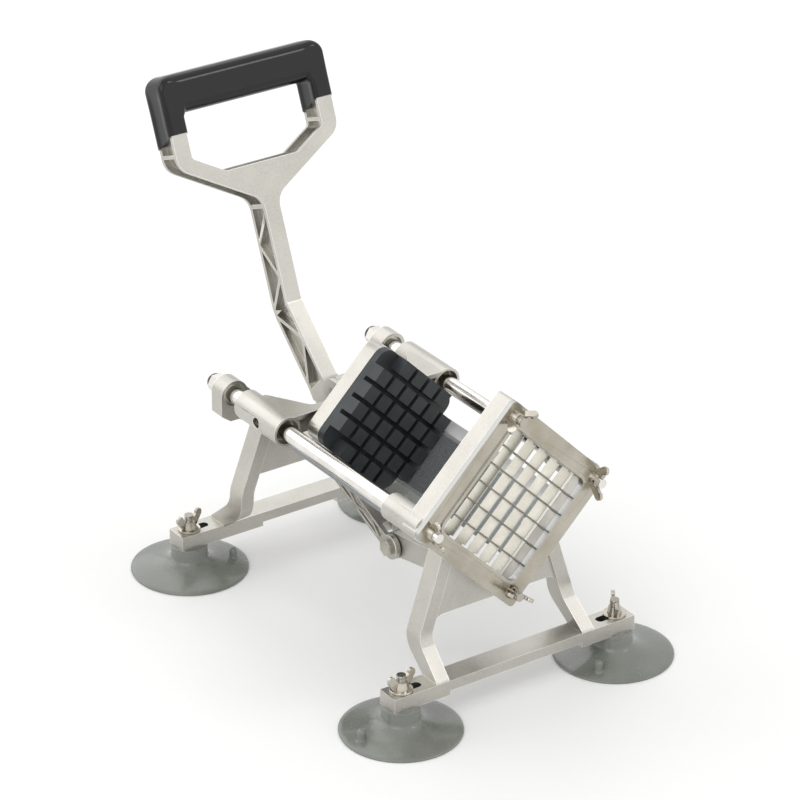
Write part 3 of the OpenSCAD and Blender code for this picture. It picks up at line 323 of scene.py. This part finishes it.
def threaded(name, direction):
    """Bright steel with the fine ridges of a thread, one after another along a direction; its crests get a
    painted highlight and its grooves painted shade.
    """
    made, tree, shader, place = start(name)
    ridges = add(
        tree,
        "ShaderNodeTexWave",
        {"Vector": place, "Scale": math.pi / (10 * RIDGE_MM * MM)},
        wave_type="BANDS",
        bands_direction=direction,
    ).outputs["Fac"]
    # painted highlight on the crests and painted shade in the grooves
    colour = blended(tree, ridges, "#98948b", "#bdb8af")
    link(tree, shader, colour=colour, metal=1.0, rough=0.24, normal=bump(tree, ridges, RIDGE_DEPTH))
    return made


THREAD_UP = threaded("stud_thread_upright", "Z")
THREAD_OUT = threaded("stud_thread_level", "Y")
print(THREAD_UP.name, "and", THREAD_OUT.name)

# %% [markdown]
# ## Capped nuts
#
# The nuts at the rear of the rods are nickel-plated, and their closed ends are black. Nut and black end
# are one solid in the CAD model, so the material changes from metal to a black non-metal at the depth
# where the black end begins: a sharp black dot on a bright nut.

# %% Capped nuts
CAP_FROM, CAP_SEAM = 237.6, 0.15
NUT_GRAIN_MM = 0.6


def capped_nut():
    """Nickel-plated nut whose closed end is black."""
    made, tree, shader, place = start("acorn_nut_nickel_with_black_end")
    depth = add(tree, "ShaderNodeSeparateXYZ", {"Vector": place}).outputs["Y"]
    cap_from = at(0, CAP_FROM, 0).y
    cap = ranged(tree, depth, cap_from, cap_from + CAP_SEAM * MM, 0, 1)
    marks = noise(tree, place, NUT_GRAIN_MM, detail=2)
    link(tree, shader, colour=blended(tree, cap, "#cfccc6", "#17181a"))
    link(tree, shader, metal=ranged(tree, cap, 0, 1, 1.0, 0.0), rough=spread(tree, marks, 0.2, 0.3))
    return made


ACORN = capped_nut()
print(ACORN.name)

# %% [markdown]
# ## Trough sheet
#
# The trough is rolled sheet with a fine stipple. Inside, below the height of the flanges, it is painted a
# darker grey than on its flanges: painted shade and a painted reflection of the dark block, so the colour
# changes at the height of the flanges. The stipple is a noise of about a millimetre, which breaks every
# reflection into a soft glow.

# %% Trough sheet
FLANGE_LOW, FLANGE_HIGH = 113.8, 114.6
STIPPLE_MM, STIPPLE_DEPTH = 1.1, 0.06


def trough_sheet():
    """Stippled sheet; painted shade makes it darker below the height of the flanges."""
    made, tree, shader, place = start("trough_sheet_stippled")
    height = add(tree, "ShaderNodeSeparateXYZ", {"Vector": place}).outputs["Z"]
    flange = ranged(tree, height, FLANGE_LOW * MM, FLANGE_HIGH * MM, 0.0, 1.0)
    stipple = noise(tree, place, STIPPLE_MM, detail=3, rough=0.6)
    # painted shade: the wall below the flanges gets the darker greys
    shaded_wall = blended(tree, spread(tree, stipple, 0, 1, half=0.15), "#808385", "#9da0a2")
    colour = blended(tree, flange, shaded_wall, "#c4c5c6")
    link(tree, shader, colour=colour, metal=0.6, rough=spread(tree, stipple, 0.38, 0.5))
    link(tree, shader, normal=bump(tree, stipple, STIPPLE_DEPTH))
    return made


SHEET = trough_sheet()
print(SHEET.name)

# %% [markdown]
# ## Plastic and vinyl
#
# The pusher's block is injection-moulded from a dark glass-filled plastic. Its skin has a fine spark
# texture, so it is nearly matt and its posts show only soft grey light. The handle's grip is
# dip-moulded vinyl: thick, black and glossy, with a slight waviness that bends the reflections of the
# lamps. Its IOR is a little under the 1.53 of solid vinyl, because the photograph's reflections are
# weaker. The suction cups are softer grey vinyl with a thin gloss over a satin body.

# %% Plastic and vinyl
GLOSS_ROUGH = 0.06


def moulded(name, dark, light, rough, grain, wave, coat=0.0, ior=1.53):
    """Moulded plastic; grain and wave each give the size and the depth of a texture in millimetres."""
    made, tree, shader, place = start(name)
    grain_mm, grain_depth = grain
    wave_mm, wave_depth = wave
    fine = noise(tree, place, grain_mm, detail=3)
    slow = noise(tree, place, wave_mm, detail=1)
    colour = blended(tree, spread(tree, slow, 0, 1), dark, light)
    link(tree, shader, colour=colour, metal=0.0, rough=spread(tree, fine, rough - 0.04, rough + 0.05))
    shader.inputs["IOR"].default_value = ior
    shader.inputs["Coat Weight"].default_value = coat
    shader.inputs["Coat Roughness"].default_value = GLOSS_ROUGH
    link(tree, shader, normal=bump(tree, fine, grain_depth, bump(tree, slow, wave_depth)))
    return made


BLOCK = moulded("pusher_block_plastic", "#24282a", "#2f3436", 0.46, (0.5, 0.02), (12, 0.02))
VINYL = moulded("grip_dipped_vinyl", "#08090a", "#0d0e10", 0.15, (1.5, 0.003), (26, 0.05), ior=1.44)
CUP = moulded("suction_cup_vinyl", "#70736c", "#7b7e77", 0.24, (3.0, 0.001), (24, 0.02), coat=0.3)
print(len(bpy.data.materials), "materials")

# %% [markdown]
# ## Places on the handle
#
# The handle leans back from the lever's pivot. Its pieces are placed by three measures: across, up
# along the handle from the pivot, and depth behind the middle of the grip. The outline of the grip is a
# U upside down: two sleeves on the sides of the D, each between an inner and an outer line, and a bar
# across the top.

# %% Places on the handle
LEAN = math.radians(22.7)
PIVOT_BACK = 185
PIVOT = at(0, PIVOT_BACK, AXIS_UP)
# The metal's front face lies this far behind the pivot; then half the depth of the metal and of the grip.
FRONT = 34.2
METAL_HALF, HALF_DEEP = 10, 11.3
SLEEVE_IN, SLEEVE_OUT = 47.9, 61.8
BAR_LOW, TOP = 192.5, 218.2
CORNER_UP = 209.2
CORNER_R = TOP - CORNER_UP
ARC = CORNER_R * math.pi / 2


def on_handle(x, up, depth):
    """A place from across, the distance up from the pivot, and the depth behind the middle of the grip."""
    behind = FRONT + METAL_HALF + depth
    y = up * math.sin(LEAN) + behind * math.cos(LEAN)
    z = up * math.cos(LEAN) - behind * math.sin(LEAN)
    return PIVOT + Vector((x, y, z)) * MM


print("top of the grip", [round(v / MM, 1) for v in on_handle(0, TOP, 0)])

# %% [markdown]
# ## From solids to surfaces
#
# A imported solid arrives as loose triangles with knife-sharp edges. Real castings and mouldings have
# none: their edges are rounded in the mould or by tumbling, and the rounded edge is what catches the
# light. So each solid is copied, its triangles are joined, and its sharp edges get a small round from a
# Bevel modifier. Weighted normals then keep the flat faces flat in the light. Rounding in the CAD model
# would need many more faces for the same look.

# %% Copy a solid, finish a piece
SCENE = bpy.context.scene.collection
SAME_PLACE = 1e-6
SHARP_BEND = 34
FLAT_WEIGHT = 80


def joined(name):
    """A mesh of the solid of a node with its loose triangles joined."""
    form = bmesh.new()
    form.from_mesh(nodes[name].data)
    bmesh.ops.remove_doubles(form, verts=form.verts, dist=SAME_PLACE)
    return form


def piece(name, form, finish, body, *stands_for, bend=SHARP_BEND):
    """An object from a bmesh, smooth up to some bend, with its material, its body and its CAD nodes."""
    mesh = bpy.data.meshes.new(name)
    form.to_mesh(mesh)
    form.free()
    mesh.materials.append(finish)
    mesh.shade_smooth()
    mesh.set_sharp_from_angle(angle=math.radians(bend))
    made = bpy.data.objects.new(name, mesh)
    SCENE.objects.link(made)
    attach(made, body)
    if stands_for:
        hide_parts(*stands_for)
    return made


def rounded(made, width_mm, segments):
    """Rounds the sharp edges of a piece."""
    edge = made.modifiers.new("rounded_edges", "BEVEL")
    edge.width = width_mm * MM
    edge.segments = segments
    edge.limit_method = "ANGLE"
    edge.angle_limit = math.radians(SHARP_BEND)
    edge.miter_outer = "MITER_ARC"
    edge.use_clamp_overlap = True
    even = made.modifiers.new("even_normals", "WEIGHTED_NORMAL")
    even.keep_sharp = True
    even.weight = FLAT_WEIGHT


BODY_OF = {}
for body, names in frame["record"]["behaviour"]["bodies"].items():
    for name in names:
        BODY_OF[name] = body

# %% [markdown]
# ## Room for the grip
#
# The edge of the lever's web ends flush with the underside of the grip, where it would hide the grip's
# round. In the copy of the lever that edge is moved up into the grip, where it doesn't show.

# %% Room for the grip
WEB_HALF = 49.6
WEB_LOW, WEB_HIGH = 191.9, 192.7
INSIDE_GRIP = 195.9


def clear_grip(form):
    """Moves the thin edge of the lever's web, which lies flush under the grip, up into the grip."""
    for vertex in form.verts:
        from_pivot = vertex.co - PIVOT
        up = from_pivot.y * math.sin(LEAN) + from_pivot.z * math.cos(LEAN)
        if abs(vertex.co.x) < WEB_HALF * MM and WEB_LOW * MM < up < WEB_HIGH * MM:
            vertex.co += Vector((0, math.sin(LEAN), math.cos(LEAN))) * (INSIDE_GRIP * MM - up)


print("the web's edge goes up by", round(INSIDE_GRIP - BAR_LOW, 1), "mm")

# %% [markdown]
# ## Dress the solids
#
# Each row gives a finish, the width of the round on the edges in millimetres, and the nodes that get
# them. Castings have the widest round, cut sheet and blades next to none. A wide round takes a third
# segment.

# %% Dress the solids
WIDE_ROUND = 0.4
DRESS = [
    (CAST, 0.8, "front_casting rear_casting pusher_head lever link"),
    (SHEET, 0.3, "trough_left trough_right"),
    (BRIGHT, 0.25, "trough_screws foot_washers block_screws pivot_bolt link_bolt link_nut link_end_pins"),
    (BRIGHT, 0.55, "blade_wing_nuts foot_wing_nuts"),
    (ACORN, 0.5, "rod_acorn_nuts"),
    (THREAD_UP, 0.4, "foot_studs"),
    (THREAD_OUT, 0.4, "blade_studs"),
    (ROD, 0.3, "guide_rod_left guide_rod_right"),
    (PLATE, 0.25, "blade_plate"),
    (HOLDER, 0.25, "blade_cartridge"),
    (BLADE, 0.1, "falling_blades"),
    (BLADE_PAINTED_SHADE, 0.1, "rising_blades"),
    (BRONZE, 0.3, "head_bushings lever_end_bush"),
    (BLOCK, 0.35, "pusher_block"),
]
for finish, width, names in DRESS:
    for name in names.split():
        form = joined(name)
        if name == "lever":
            clear_grip(form)
        made = piece(name + "_surface", form, finish, BODY_OF[name], name)
        rounded(made, width, segments=3 if width > WIDE_ROUND else 2)
        print(made.name, len(made.data.polygons), "faces")

# %% [markdown]
# ## Threads
#
# The studs of the feet and of the blade plate are cut with a thread whose end stands out of the wing
# nut. A thread is one ridge that winds round the rod, so Geometry Nodes make it: a spiral curve of the
# thread's pitch, swept with a small round ridge, is put on a point at each stud. The same tree serves
# the upright and the level studs. A bump alone would leave the outline of the stud smooth.

# %% Node tree of a thread
TURN_STEPS, RIDGE_SIDES = 28, 6


def thread_tree(finish):
    """A tree that puts a spiral ridge on each point; its inputs are the sizes of the thread."""
    tree = bpy.data.node_groups.new("thread_on_studs", "GeometryNodeTree")
    face = tree.interface
    face.new_socket("Studs", in_out="INPUT", socket_type="NodeSocketGeometry")
    for name, value in (("Radius", 3.0), ("Length", 6.0), ("Pitch", 1.25), ("Ridge", 0.25)):
        face.new_socket(name, in_out="INPUT", socket_type="NodeSocketFloat").default_value = value * MM
    face.new_socket("Turn", in_out="INPUT", socket_type="NodeSocketVector")
    face.new_socket("Thread", in_out="OUTPUT", socket_type="NodeSocketGeometry")
    given = tree.nodes.new("NodeGroupInput").outputs
    turns = add(tree, "ShaderNodeMath", {0: given["Length"], 1: given["Pitch"]}, operation="DIVIDE")
    spiral = add(
        tree,
        "GeometryNodeCurveSpiral",
        {
            "Resolution": TURN_STEPS,
            "Rotations": turns.outputs["Value"],
            "Start Radius": given["Radius"],
            "End Radius": given["Radius"],
            "Height": given["Length"],
        },
    )
    ridge = add(
        tree,
        "GeometryNodeCurvePrimitiveCircle",
        {"Resolution": RIDGE_SIDES, "Radius": given["Ridge"]},
    )
    swept = add(
        tree,
        "GeometryNodeCurveToMesh",
        {"Curve": spiral.outputs["Curve"], "Profile Curve": ridge.outputs["Curve"], "Fill Caps": True},
    )
    placed = add(
        tree,
        "GeometryNodeInstanceOnPoints",
        {"Points": given["Studs"], "Instance": swept.outputs["Mesh"], "Rotation": given["Turn"]},
    )
    real = add(tree, "GeometryNodeRealizeInstances", {"Geometry": placed.outputs["Instances"]})
    done = add(
        tree,
        "GeometryNodeSetMaterial",
        {"Geometry": real.outputs["Geometry"], "Material": finish},
    )
    out = tree.nodes.new("NodeGroupOutput")
    tree.links.new(done.outputs["Geometry"], out.inputs["Thread"])
    return tree


THREAD = thread_tree(BRIGHT)
print(THREAD.name, "has", len(THREAD.nodes), "nodes")

# %% Grow a piece from a node tree


def grown(name, points, tree, body, **sizes):
    """A mesh of loose points, with what a node tree grows on them, turned into a plain piece."""
    seeds = bpy.data.meshes.new(name + "_points")
    seeds.from_pydata(points, [], [])
    holder = bpy.data.objects.new(name, seeds)
    SCENE.objects.link(holder)
    grower = holder.modifiers.new("grow", "NODES")
    grower.node_group = tree
    for item in tree.interface.items_tree:
        if item.in_out == "INPUT" and item.name in sizes:
            grower[item.identifier] = sizes[item.name]
    view = bpy.context.evaluated_depsgraph_get()
    mesh = bpy.data.meshes.new_from_object(holder.evaluated_get(view))
    holder.modifiers.remove(grower)
    holder.data = mesh
    bpy.data.meshes.remove(seeds)
    mesh.shade_smooth()
    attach(holder, body)
    print(name, len(mesh.polygons), "faces")


# %% Threads on the studs
THREAD_R, PITCH, RIDGE_R = 2.72, 1.25, 0.28
# The thread lies between the nut and a place this far short of the stud's end.
STUD_END = 0.7
NUT_TOP = 36.1
PLATE_NUT_REACH = 5.5
PLATE_STUD_UP = 60


def sizes_of(length, turn):
    """The inputs of the thread's tree for a length and a turn from upright."""
    return {
        "Radius": THREAD_R * MM,
        "Length": length,
        "Pitch": PITCH * MM,
        "Ridge": RIDGE_R * MM,
        "Turn": turn,
    }


STUD_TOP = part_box("foot_studs")[1].z / MM - STUD_END
feet = [at(x, y, NUT_TOP) for x in (-FOOT_ACROSS, FOOT_ACROSS) for y in (0, FOOT_BACK)]
upright = sizes_of((STUD_TOP - NUT_TOP) * MM, (0, 0, 0))
grown("foot_stud_threads", feet, THREAD, BODY_OF["foot_studs"], **upright)
STUD_TIP = (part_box("blade_studs")[0].y - BLADES_Y) / MM + STUD_END
plate_studs = [at(0, STUD_TIP, AXIS_UP + z) for z in (-PLATE_STUD_UP, PLATE_STUD_UP)]
level = sizes_of(PLATE_NUT_REACH * MM, (-math.pi / 2, 0, 0))
grown("plate_stud_threads", plate_studs, THREAD, BODY_OF["blade_studs"], **level)

# %% [markdown]
# ## Suction cups
#
# A cup is moulded soft vinyl: a stout hub under the foot bar that flares out into a thin dish, with a
# rolled rim and a small pull tab that stands on the dish. Its profile is turned round its axis. A Screw
# modifier could do that too, but a short function closes both poles and keeps every face outwards. The
# points are (radius, height) in millimetres, from the middle of the top out to the rim and back under
# the dish.

# %% Profiles of a cup
HUB = [(0, 18), (11.2, 18), (11.85, 17.7), (12, 17.1), (12, 10), (12.5, 8.8), (14.0, 7.6)]
DISH = [(17, 6.1), (21, 4.75), (26, 3.8), (31, 2.9), (35, 2.1), (37.6, 1.6), (38.35, 1.2), (38.5, 0.7)]
UNDER = [(38.3, 0.15), (37.6, 0), (35.6, 0), (34.4, 0.25), (28, 1.5), (20, 2.8), (12, 3.7), (0, 3.8)]
TAB_PIN = [(0, 10.5), (1.2, 10.3), (2.1, 9.6), (2.5, 8.5), (2.6, 7), (2.6, 3.8)]
TAB_FOOT = [(3.1, 2.9), (4.2, 2.4), (4.2, 1.5), (0, 1.5)]
TAB_OUT = 29
CUP_STEPS, TAB_STEPS = 96, 32
CUP_BEND = 60


def lathe(form, profile, centre, steps):
    """Adds a surface turned round an upright line from its profile, given from top to bottom."""
    rings = []
    for radius, height in profile:
        turns = [2 * math.pi * k / steps for k in range(steps)] if radius else [0]
        ring = [Vector((radius * math.cos(a), radius * math.sin(a), height)) * MM for a in turns]
        rings.append([form.verts.new(centre + v) for v in ring])
    for upper, lower in zip(rings, rings[1:]):
        for k in range(steps):
            j = (k + 1) % steps
            if len(upper) == 1:
                form.faces.new((upper[0], lower[k], lower[j]))
            elif len(lower) == 1:
                form.faces.new((upper[j], upper[k], lower[0]))
            else:
                form.faces.new((upper[k], lower[k], lower[j], upper[j]))


print(len(HUB + DISH + UNDER), "points in the profile of a cup")

# %% Cups at the four feet
TAB_TURNS = {
    ("front", "left"): 180,
    ("front", "right"): 215,
    ("rear", "left"): -20,
    ("rear", "right"): 30,
}


def cup(end, side, tab_turn):
    """The cup of one foot, with its tab turned some degrees from the right."""
    node = f"suction_cup_{end}_{side}"
    x = FOOT_ACROSS if side == "right" else -FOOT_ACROSS
    y = FOOT_BACK if end == "rear" else 0
    turn = math.radians(tab_turn)
    form = bmesh.new()
    lathe(form, HUB + DISH + UNDER, at(x, y, 0), CUP_STEPS)
    tab_at = at(x + TAB_OUT * math.cos(turn), y + TAB_OUT * math.sin(turn), 0)
    lathe(form, TAB_PIN + TAB_FOOT, tab_at, TAB_STEPS)
    return piece(f"{end}_{side}_cup", form, CUP, BODY_OF[node], node, bend=CUP_BEND)


for (end, side), tab_turn in TAB_TURNS.items():
    made = cup(end, side, tab_turn)
    print(made.name, len(made.data.polygons), "faces")

# %% [markdown]
# ## The grip
#
# The grip is vinyl that was dipped over the top of the handle, so it has no sharp edge and follows the
# metal below: on the sleeves the channel of the metal shows through as a shallow dip. A section is
# moved along a path shaped like a U upside down: up one sleeve, round the corner, along the bar and
# down the other side. Each station has an inner and an outer point in the plane of the handle, and the
# section spans them and the depth. A Subdivision Surface modifier would round the ends too, so the
# section has its own round corners.

# %% Outline of the grip
BEND_UP = 190
INNER_R = 2.5
BAR_RUN = 7.3


def outer_point(share):
    """A point of the outer outline, from the side below the corner at 0 to the top of the bar at 1."""
    rise = CORNER_UP - BEND_UP
    run = share * (rise + ARC + BAR_RUN)
    if run < rise:
        return Vector((SLEEVE_OUT, BEND_UP + run))
    if run < rise + ARC:
        turn = (run - rise) / CORNER_R
        across = SLEEVE_OUT - CORNER_R * (1 - math.cos(turn))
        return Vector((across, CORNER_UP + CORNER_R * math.sin(turn)))
    return Vector((SLEEVE_OUT - CORNER_R - (run - rise - ARC), TOP))


print("the corner starts at", outer_point(0)[:], "and ends at", [round(v, 1) for v in outer_point(1)])

# %% Path of the grip
SLEEVE_ROUND, BAR_ROUND = 3.2, 7.8
# Stations up the sleeve: the height, and how much of the slant of the cut end is left there.
SLEEVE_END = ((180.5, 1.0), (182, 0.9), (185, 0.6), (188, 0.25))
# Steps round the corner, those in which the round grows, and those in which the dip fades.
CORNER_STEPS = 24
WIDER_FROM, WIDER_TO = 12, 24
DIP_FROM, DIP_TO = 8, 13
BAR_PLACES = (40, 30, 20, 10)


def eased(value, low, high):
    """Rises smoothly from 0 at low to 1 at high."""
    share = min(1, max(0, (value - low) / (high - low)))
    return share * share * (3 - 2 * share)


def bar_station(x):
    """A station of the bar, whose section is the same all along."""
    return (Vector((x, BAR_LOW)), Vector((x, TOP)), BAR_ROUND, 0.0, 0.0)


def half_path():
    """Stations of the right half: inner point, outer point, radius, dip on the side, slant of the end."""
    stations = []
    for up, slant in SLEEVE_END:
        stations.append((Vector((SLEEVE_IN, up)), Vector((SLEEVE_OUT, up)), SLEEVE_ROUND, 1.0, slant))
    for k in range(CORNER_STEPS + 1):
        turn = math.pi / 2 * k / CORNER_STEPS
        across = SLEEVE_IN - INNER_R * (1 - math.cos(turn))
        inner = Vector((across, BEND_UP + INNER_R * math.sin(turn)))
        radius = SLEEVE_ROUND + (BAR_ROUND - SLEEVE_ROUND) * eased(k, WIDER_FROM, WIDER_TO)
        dip = 1 - eased(k, DIP_FROM, DIP_TO)
        stations.append((inner, outer_point(k / CORNER_STEPS), radius, dip, 0.0))
    stations += [bar_station(x) for x in BAR_PLACES]
    return stations


print(len(half_path()), "stations on each side")

# %% Section of the grip
ROUND_STEPS, SIDE_STEPS = 10, 16
CHANNEL = 0.82


def grip_section(half_across, radius, dip):
    """A closed list of (across, deep): four round corners, and sides that may dip into a channel."""
    corners = ((1, 1), (-1, 1), (-1, -1), (1, -1))
    points = []
    for number, (side, face) in enumerate(corners):
        for k in range(ROUND_STEPS + 1):
            turn = math.pi / 2 * (number + k / ROUND_STEPS)
            across = side * (half_across - radius) + radius * math.cos(turn)
            points.append((across, face * (HALF_DEEP - radius) + radius * math.sin(turn)))
        for k in range(1, SIDE_STEPS):
            way = 1 - 2 * k / SIDE_STEPS
            if number in (1, 3):
                hollow = dip * max(0, 1 - (way / CHANNEL) ** 4) ** 0.5
                points.append((side * (half_across - hollow), face * way * (HALF_DEEP - radius)))
            else:
                points.append((side * way * (half_across - radius), face * HALF_DEEP))
    return points


print(len(grip_section(7, 2, 1)), "points round the section")

# %% Grip
END_SLOPE = 0.398
GRIP_BEND = 50


def grip():
    """The whole grip: a ring of points at each station, joined by faces and closed at both ends."""
    right_half = half_path()
    left_half = [(Vector((-i.x, i.y)), Vector((-o.x, o.y)), *rest) for i, o, *rest in reversed(right_half)]
    form = bmesh.new()
    rings = []
    for inner, outer, radius, dip, slant in right_half + [bar_station(0)] + left_half:
        half = (outer - inner).length / 2
        ring = []
        for across, deep in grip_section(half, min(radius, half), dip):
            spot = inner.lerp(outer, across / (2 * half) + 0.5)
            up = spot.y - slant * END_SLOPE * (deep + METAL_HALF)
            ring.append(form.verts.new(on_handle(spot.x, up, deep)))
        rings.append(ring)
    count = len(rings[0])
    for first, second in zip(rings, rings[1:]):
        for k in range(count):
            j = (k + 1) % count
            form.faces.new((first[k], second[k], second[j], first[j]))
    form.faces.new(rings[0])
    form.faces.new(list(reversed(rings[-1])))
    bmesh.ops.recalc_face_normals(form, faces=form.faces)
    return piece("dipped_grip", form, VINYL, BODY_OF["handle_grip"], "handle_grip", bend=GRIP_BEND)


made = grip()
print(made.name, len(made.data.polygons), "faces")

# %% [markdown]
# ## The table
#
# The cutter stands on a white table. It is a flat grid, far wider than the picture, in a matt white
# with the faintest drift, and it takes the soft shadows that set the feet on it.

# %% Table
TABLE_SIZE = 6.0
TABLE_GRAIN_MM = 4


def table():
    """A wide white top for the cutter to stand on, not attached to any body of the model."""
    form = bmesh.new()
    bmesh.ops.create_grid(form, x_segments=8, y_segments=8, size=TABLE_SIZE)
    mesh = bpy.data.meshes.new("table_top")
    form.to_mesh(mesh)
    form.free()
    made, tree, shader, place = start("table_white")
    grain = noise(tree, place, TABLE_GRAIN_MM, detail=2)
    link(tree, shader, colour=blended(tree, grain, "#f7f7f6", "#fafaf9"), rough=0.6)
    mesh.materials.append(made)
    top = bpy.data.objects.new("table_top", mesh)
    SCENE.objects.link(top)
    return top


print(table().name, "laid")

# %% [markdown]
# ## The background
#
# The background is white for the camera, in what metal mirrors and through anything clear. The light
# that it casts on the object is a little weaker, at a plain level, so that colours come out as they are
# written.

# %% Background
SOFT_LEVEL, WHITE_LEVEL = 0.8, 1.0
world = bpy.data.worlds.new("studio")
bpy.context.scene.world = world
world.use_nodes = True
tree = world.node_tree
tree.nodes.clear()
ray = add(tree, "ShaderNodeLightPath").outputs
seen = add(
    tree,
    "ShaderNodeMath",
    {0: ray["Is Camera Ray"], 1: ray["Is Glossy Ray"]},
    operation="MAXIMUM",
).outputs["Value"]
seen = add(
    tree,
    "ShaderNodeMath",
    {0: seen, 1: ray["Is Transmission Ray"]},
    operation="MAXIMUM",
).outputs["Value"]
soft = add(tree, "ShaderNodeBackground", {"Color": linear("#ffffff"), "Strength": SOFT_LEVEL})
white = add(tree, "ShaderNodeBackground", {"Color": linear("#ffffff"), "Strength": WHITE_LEVEL})
both = add(tree, "ShaderNodeMixShader", {"Fac": seen})
tree.links.new(soft.outputs["Background"], both.inputs[1])
tree.links.new(white.outputs["Background"], both.inputs[2])
add(tree, "ShaderNodeOutputWorld", {"Surface": both.outputs["Shader"]})
print("the world", world.name, "has", len(tree.nodes), "nodes")

# %% [markdown]
# ## The lamps
#
# A photograph like this one is lit by large soft boxes. Each is a sun lamp here, whose angle stands for
# the size of the box: a wide angle gives a soft shadow and a broad streak on metal. A sun's light is
# the same at any distance, so only its direction and its strength have to be matched. Each row gives
# the direction that the light comes from, its angle in degrees and its strength.

# %% Lamps
LAMP_AWAY = 2
SOFTBOXES = [
    ("softbox_rear_left", (-0.50, 0.68, 0.55), 45, 0.42),
    ("softbox_front_right", (0.50, -0.82, 0.32), 45, 0.13),
    ("softbox_front_left", (-0.75, -0.35, 0.80), 50, 0.6),
    ("softbox_above_right", (0.50, -0.44, 0.74), 13, 0.17),
    ("softbox_rear", (0.15, 0.75, 0.62), 45, 0.35),
]


def softbox(name, towards, angle, power):
    """A large soft light far away in the direction towards, as wide as its angle in degrees."""
    light = bpy.data.lights.new(name, "SUN")
    light.angle = math.radians(angle)
    light.energy = power
    made = bpy.data.objects.new(name, light)
    SCENE.objects.link(made)
    made.location = Vector(towards).normalized() * LAMP_AWAY
    made.rotation_euler = Vector(towards).to_track_quat("Z", "Y").to_euler()


for row in SOFTBOXES:
    softbox(*row)
print(len(SOFTBOXES), "lamps placed")

# %% [markdown]
# ## The camera
#
# The photograph was taken with a long lens, from 34.75 degrees to the left of the front and 27.3
# degrees above the table. The camera's axes, its lens and its distance come from matching the plate,
# the rods and the feet. The camera is placed in its own axes: so far to the right, up and back, in
# millimetres.

# %% Camera
AZIMUTH, ELEVATION, ROLL = (math.radians(v) for v in (-34.75, 27.29, 0.26))
TO_RIGHT, TO_TOP, TO_BACK = -67.24, 179.71, 2528.58
PICTURE_PIXELS, FOCAL_PIXELS = 800, 4086.52
SENSOR_MM = 36
back = Vector(
    (
        math.sin(AZIMUTH) * math.cos(ELEVATION),
        -math.cos(AZIMUTH) * math.cos(ELEVATION),
        math.sin(ELEVATION),
    )
)
right = Vector((math.cos(AZIMUTH), math.sin(AZIMUTH), 0))
up = back.cross(right)
right, up = (
    right * math.cos(ROLL) + up * math.sin(ROLL),
    up * math.cos(ROLL) - right * math.sin(ROLL),
)
lens = bpy.data.cameras.new("photo_lens")
lens.sensor_width = SENSOR_MM
lens.lens = FOCAL_PIXELS / PICTURE_PIXELS * SENSOR_MM
lens.clip_start = 0.1
lens.clip_end = 50
camera = bpy.data.objects.new("photo_camera", lens)
SCENE.objects.link(camera)
stand = Matrix((right, up, back)).transposed().to_4x4()
stand.translation = at(*(right * TO_RIGHT + up * TO_TOP + back * TO_BACK))
camera.matrix_world = stand
bpy.context.scene.camera = camera
bpy.context.scene.view_settings.view_transform = "Standard"
print("camera", [round(v, 3) for v in stand.translation], "lens", round(lens.lens, 1), "mm")
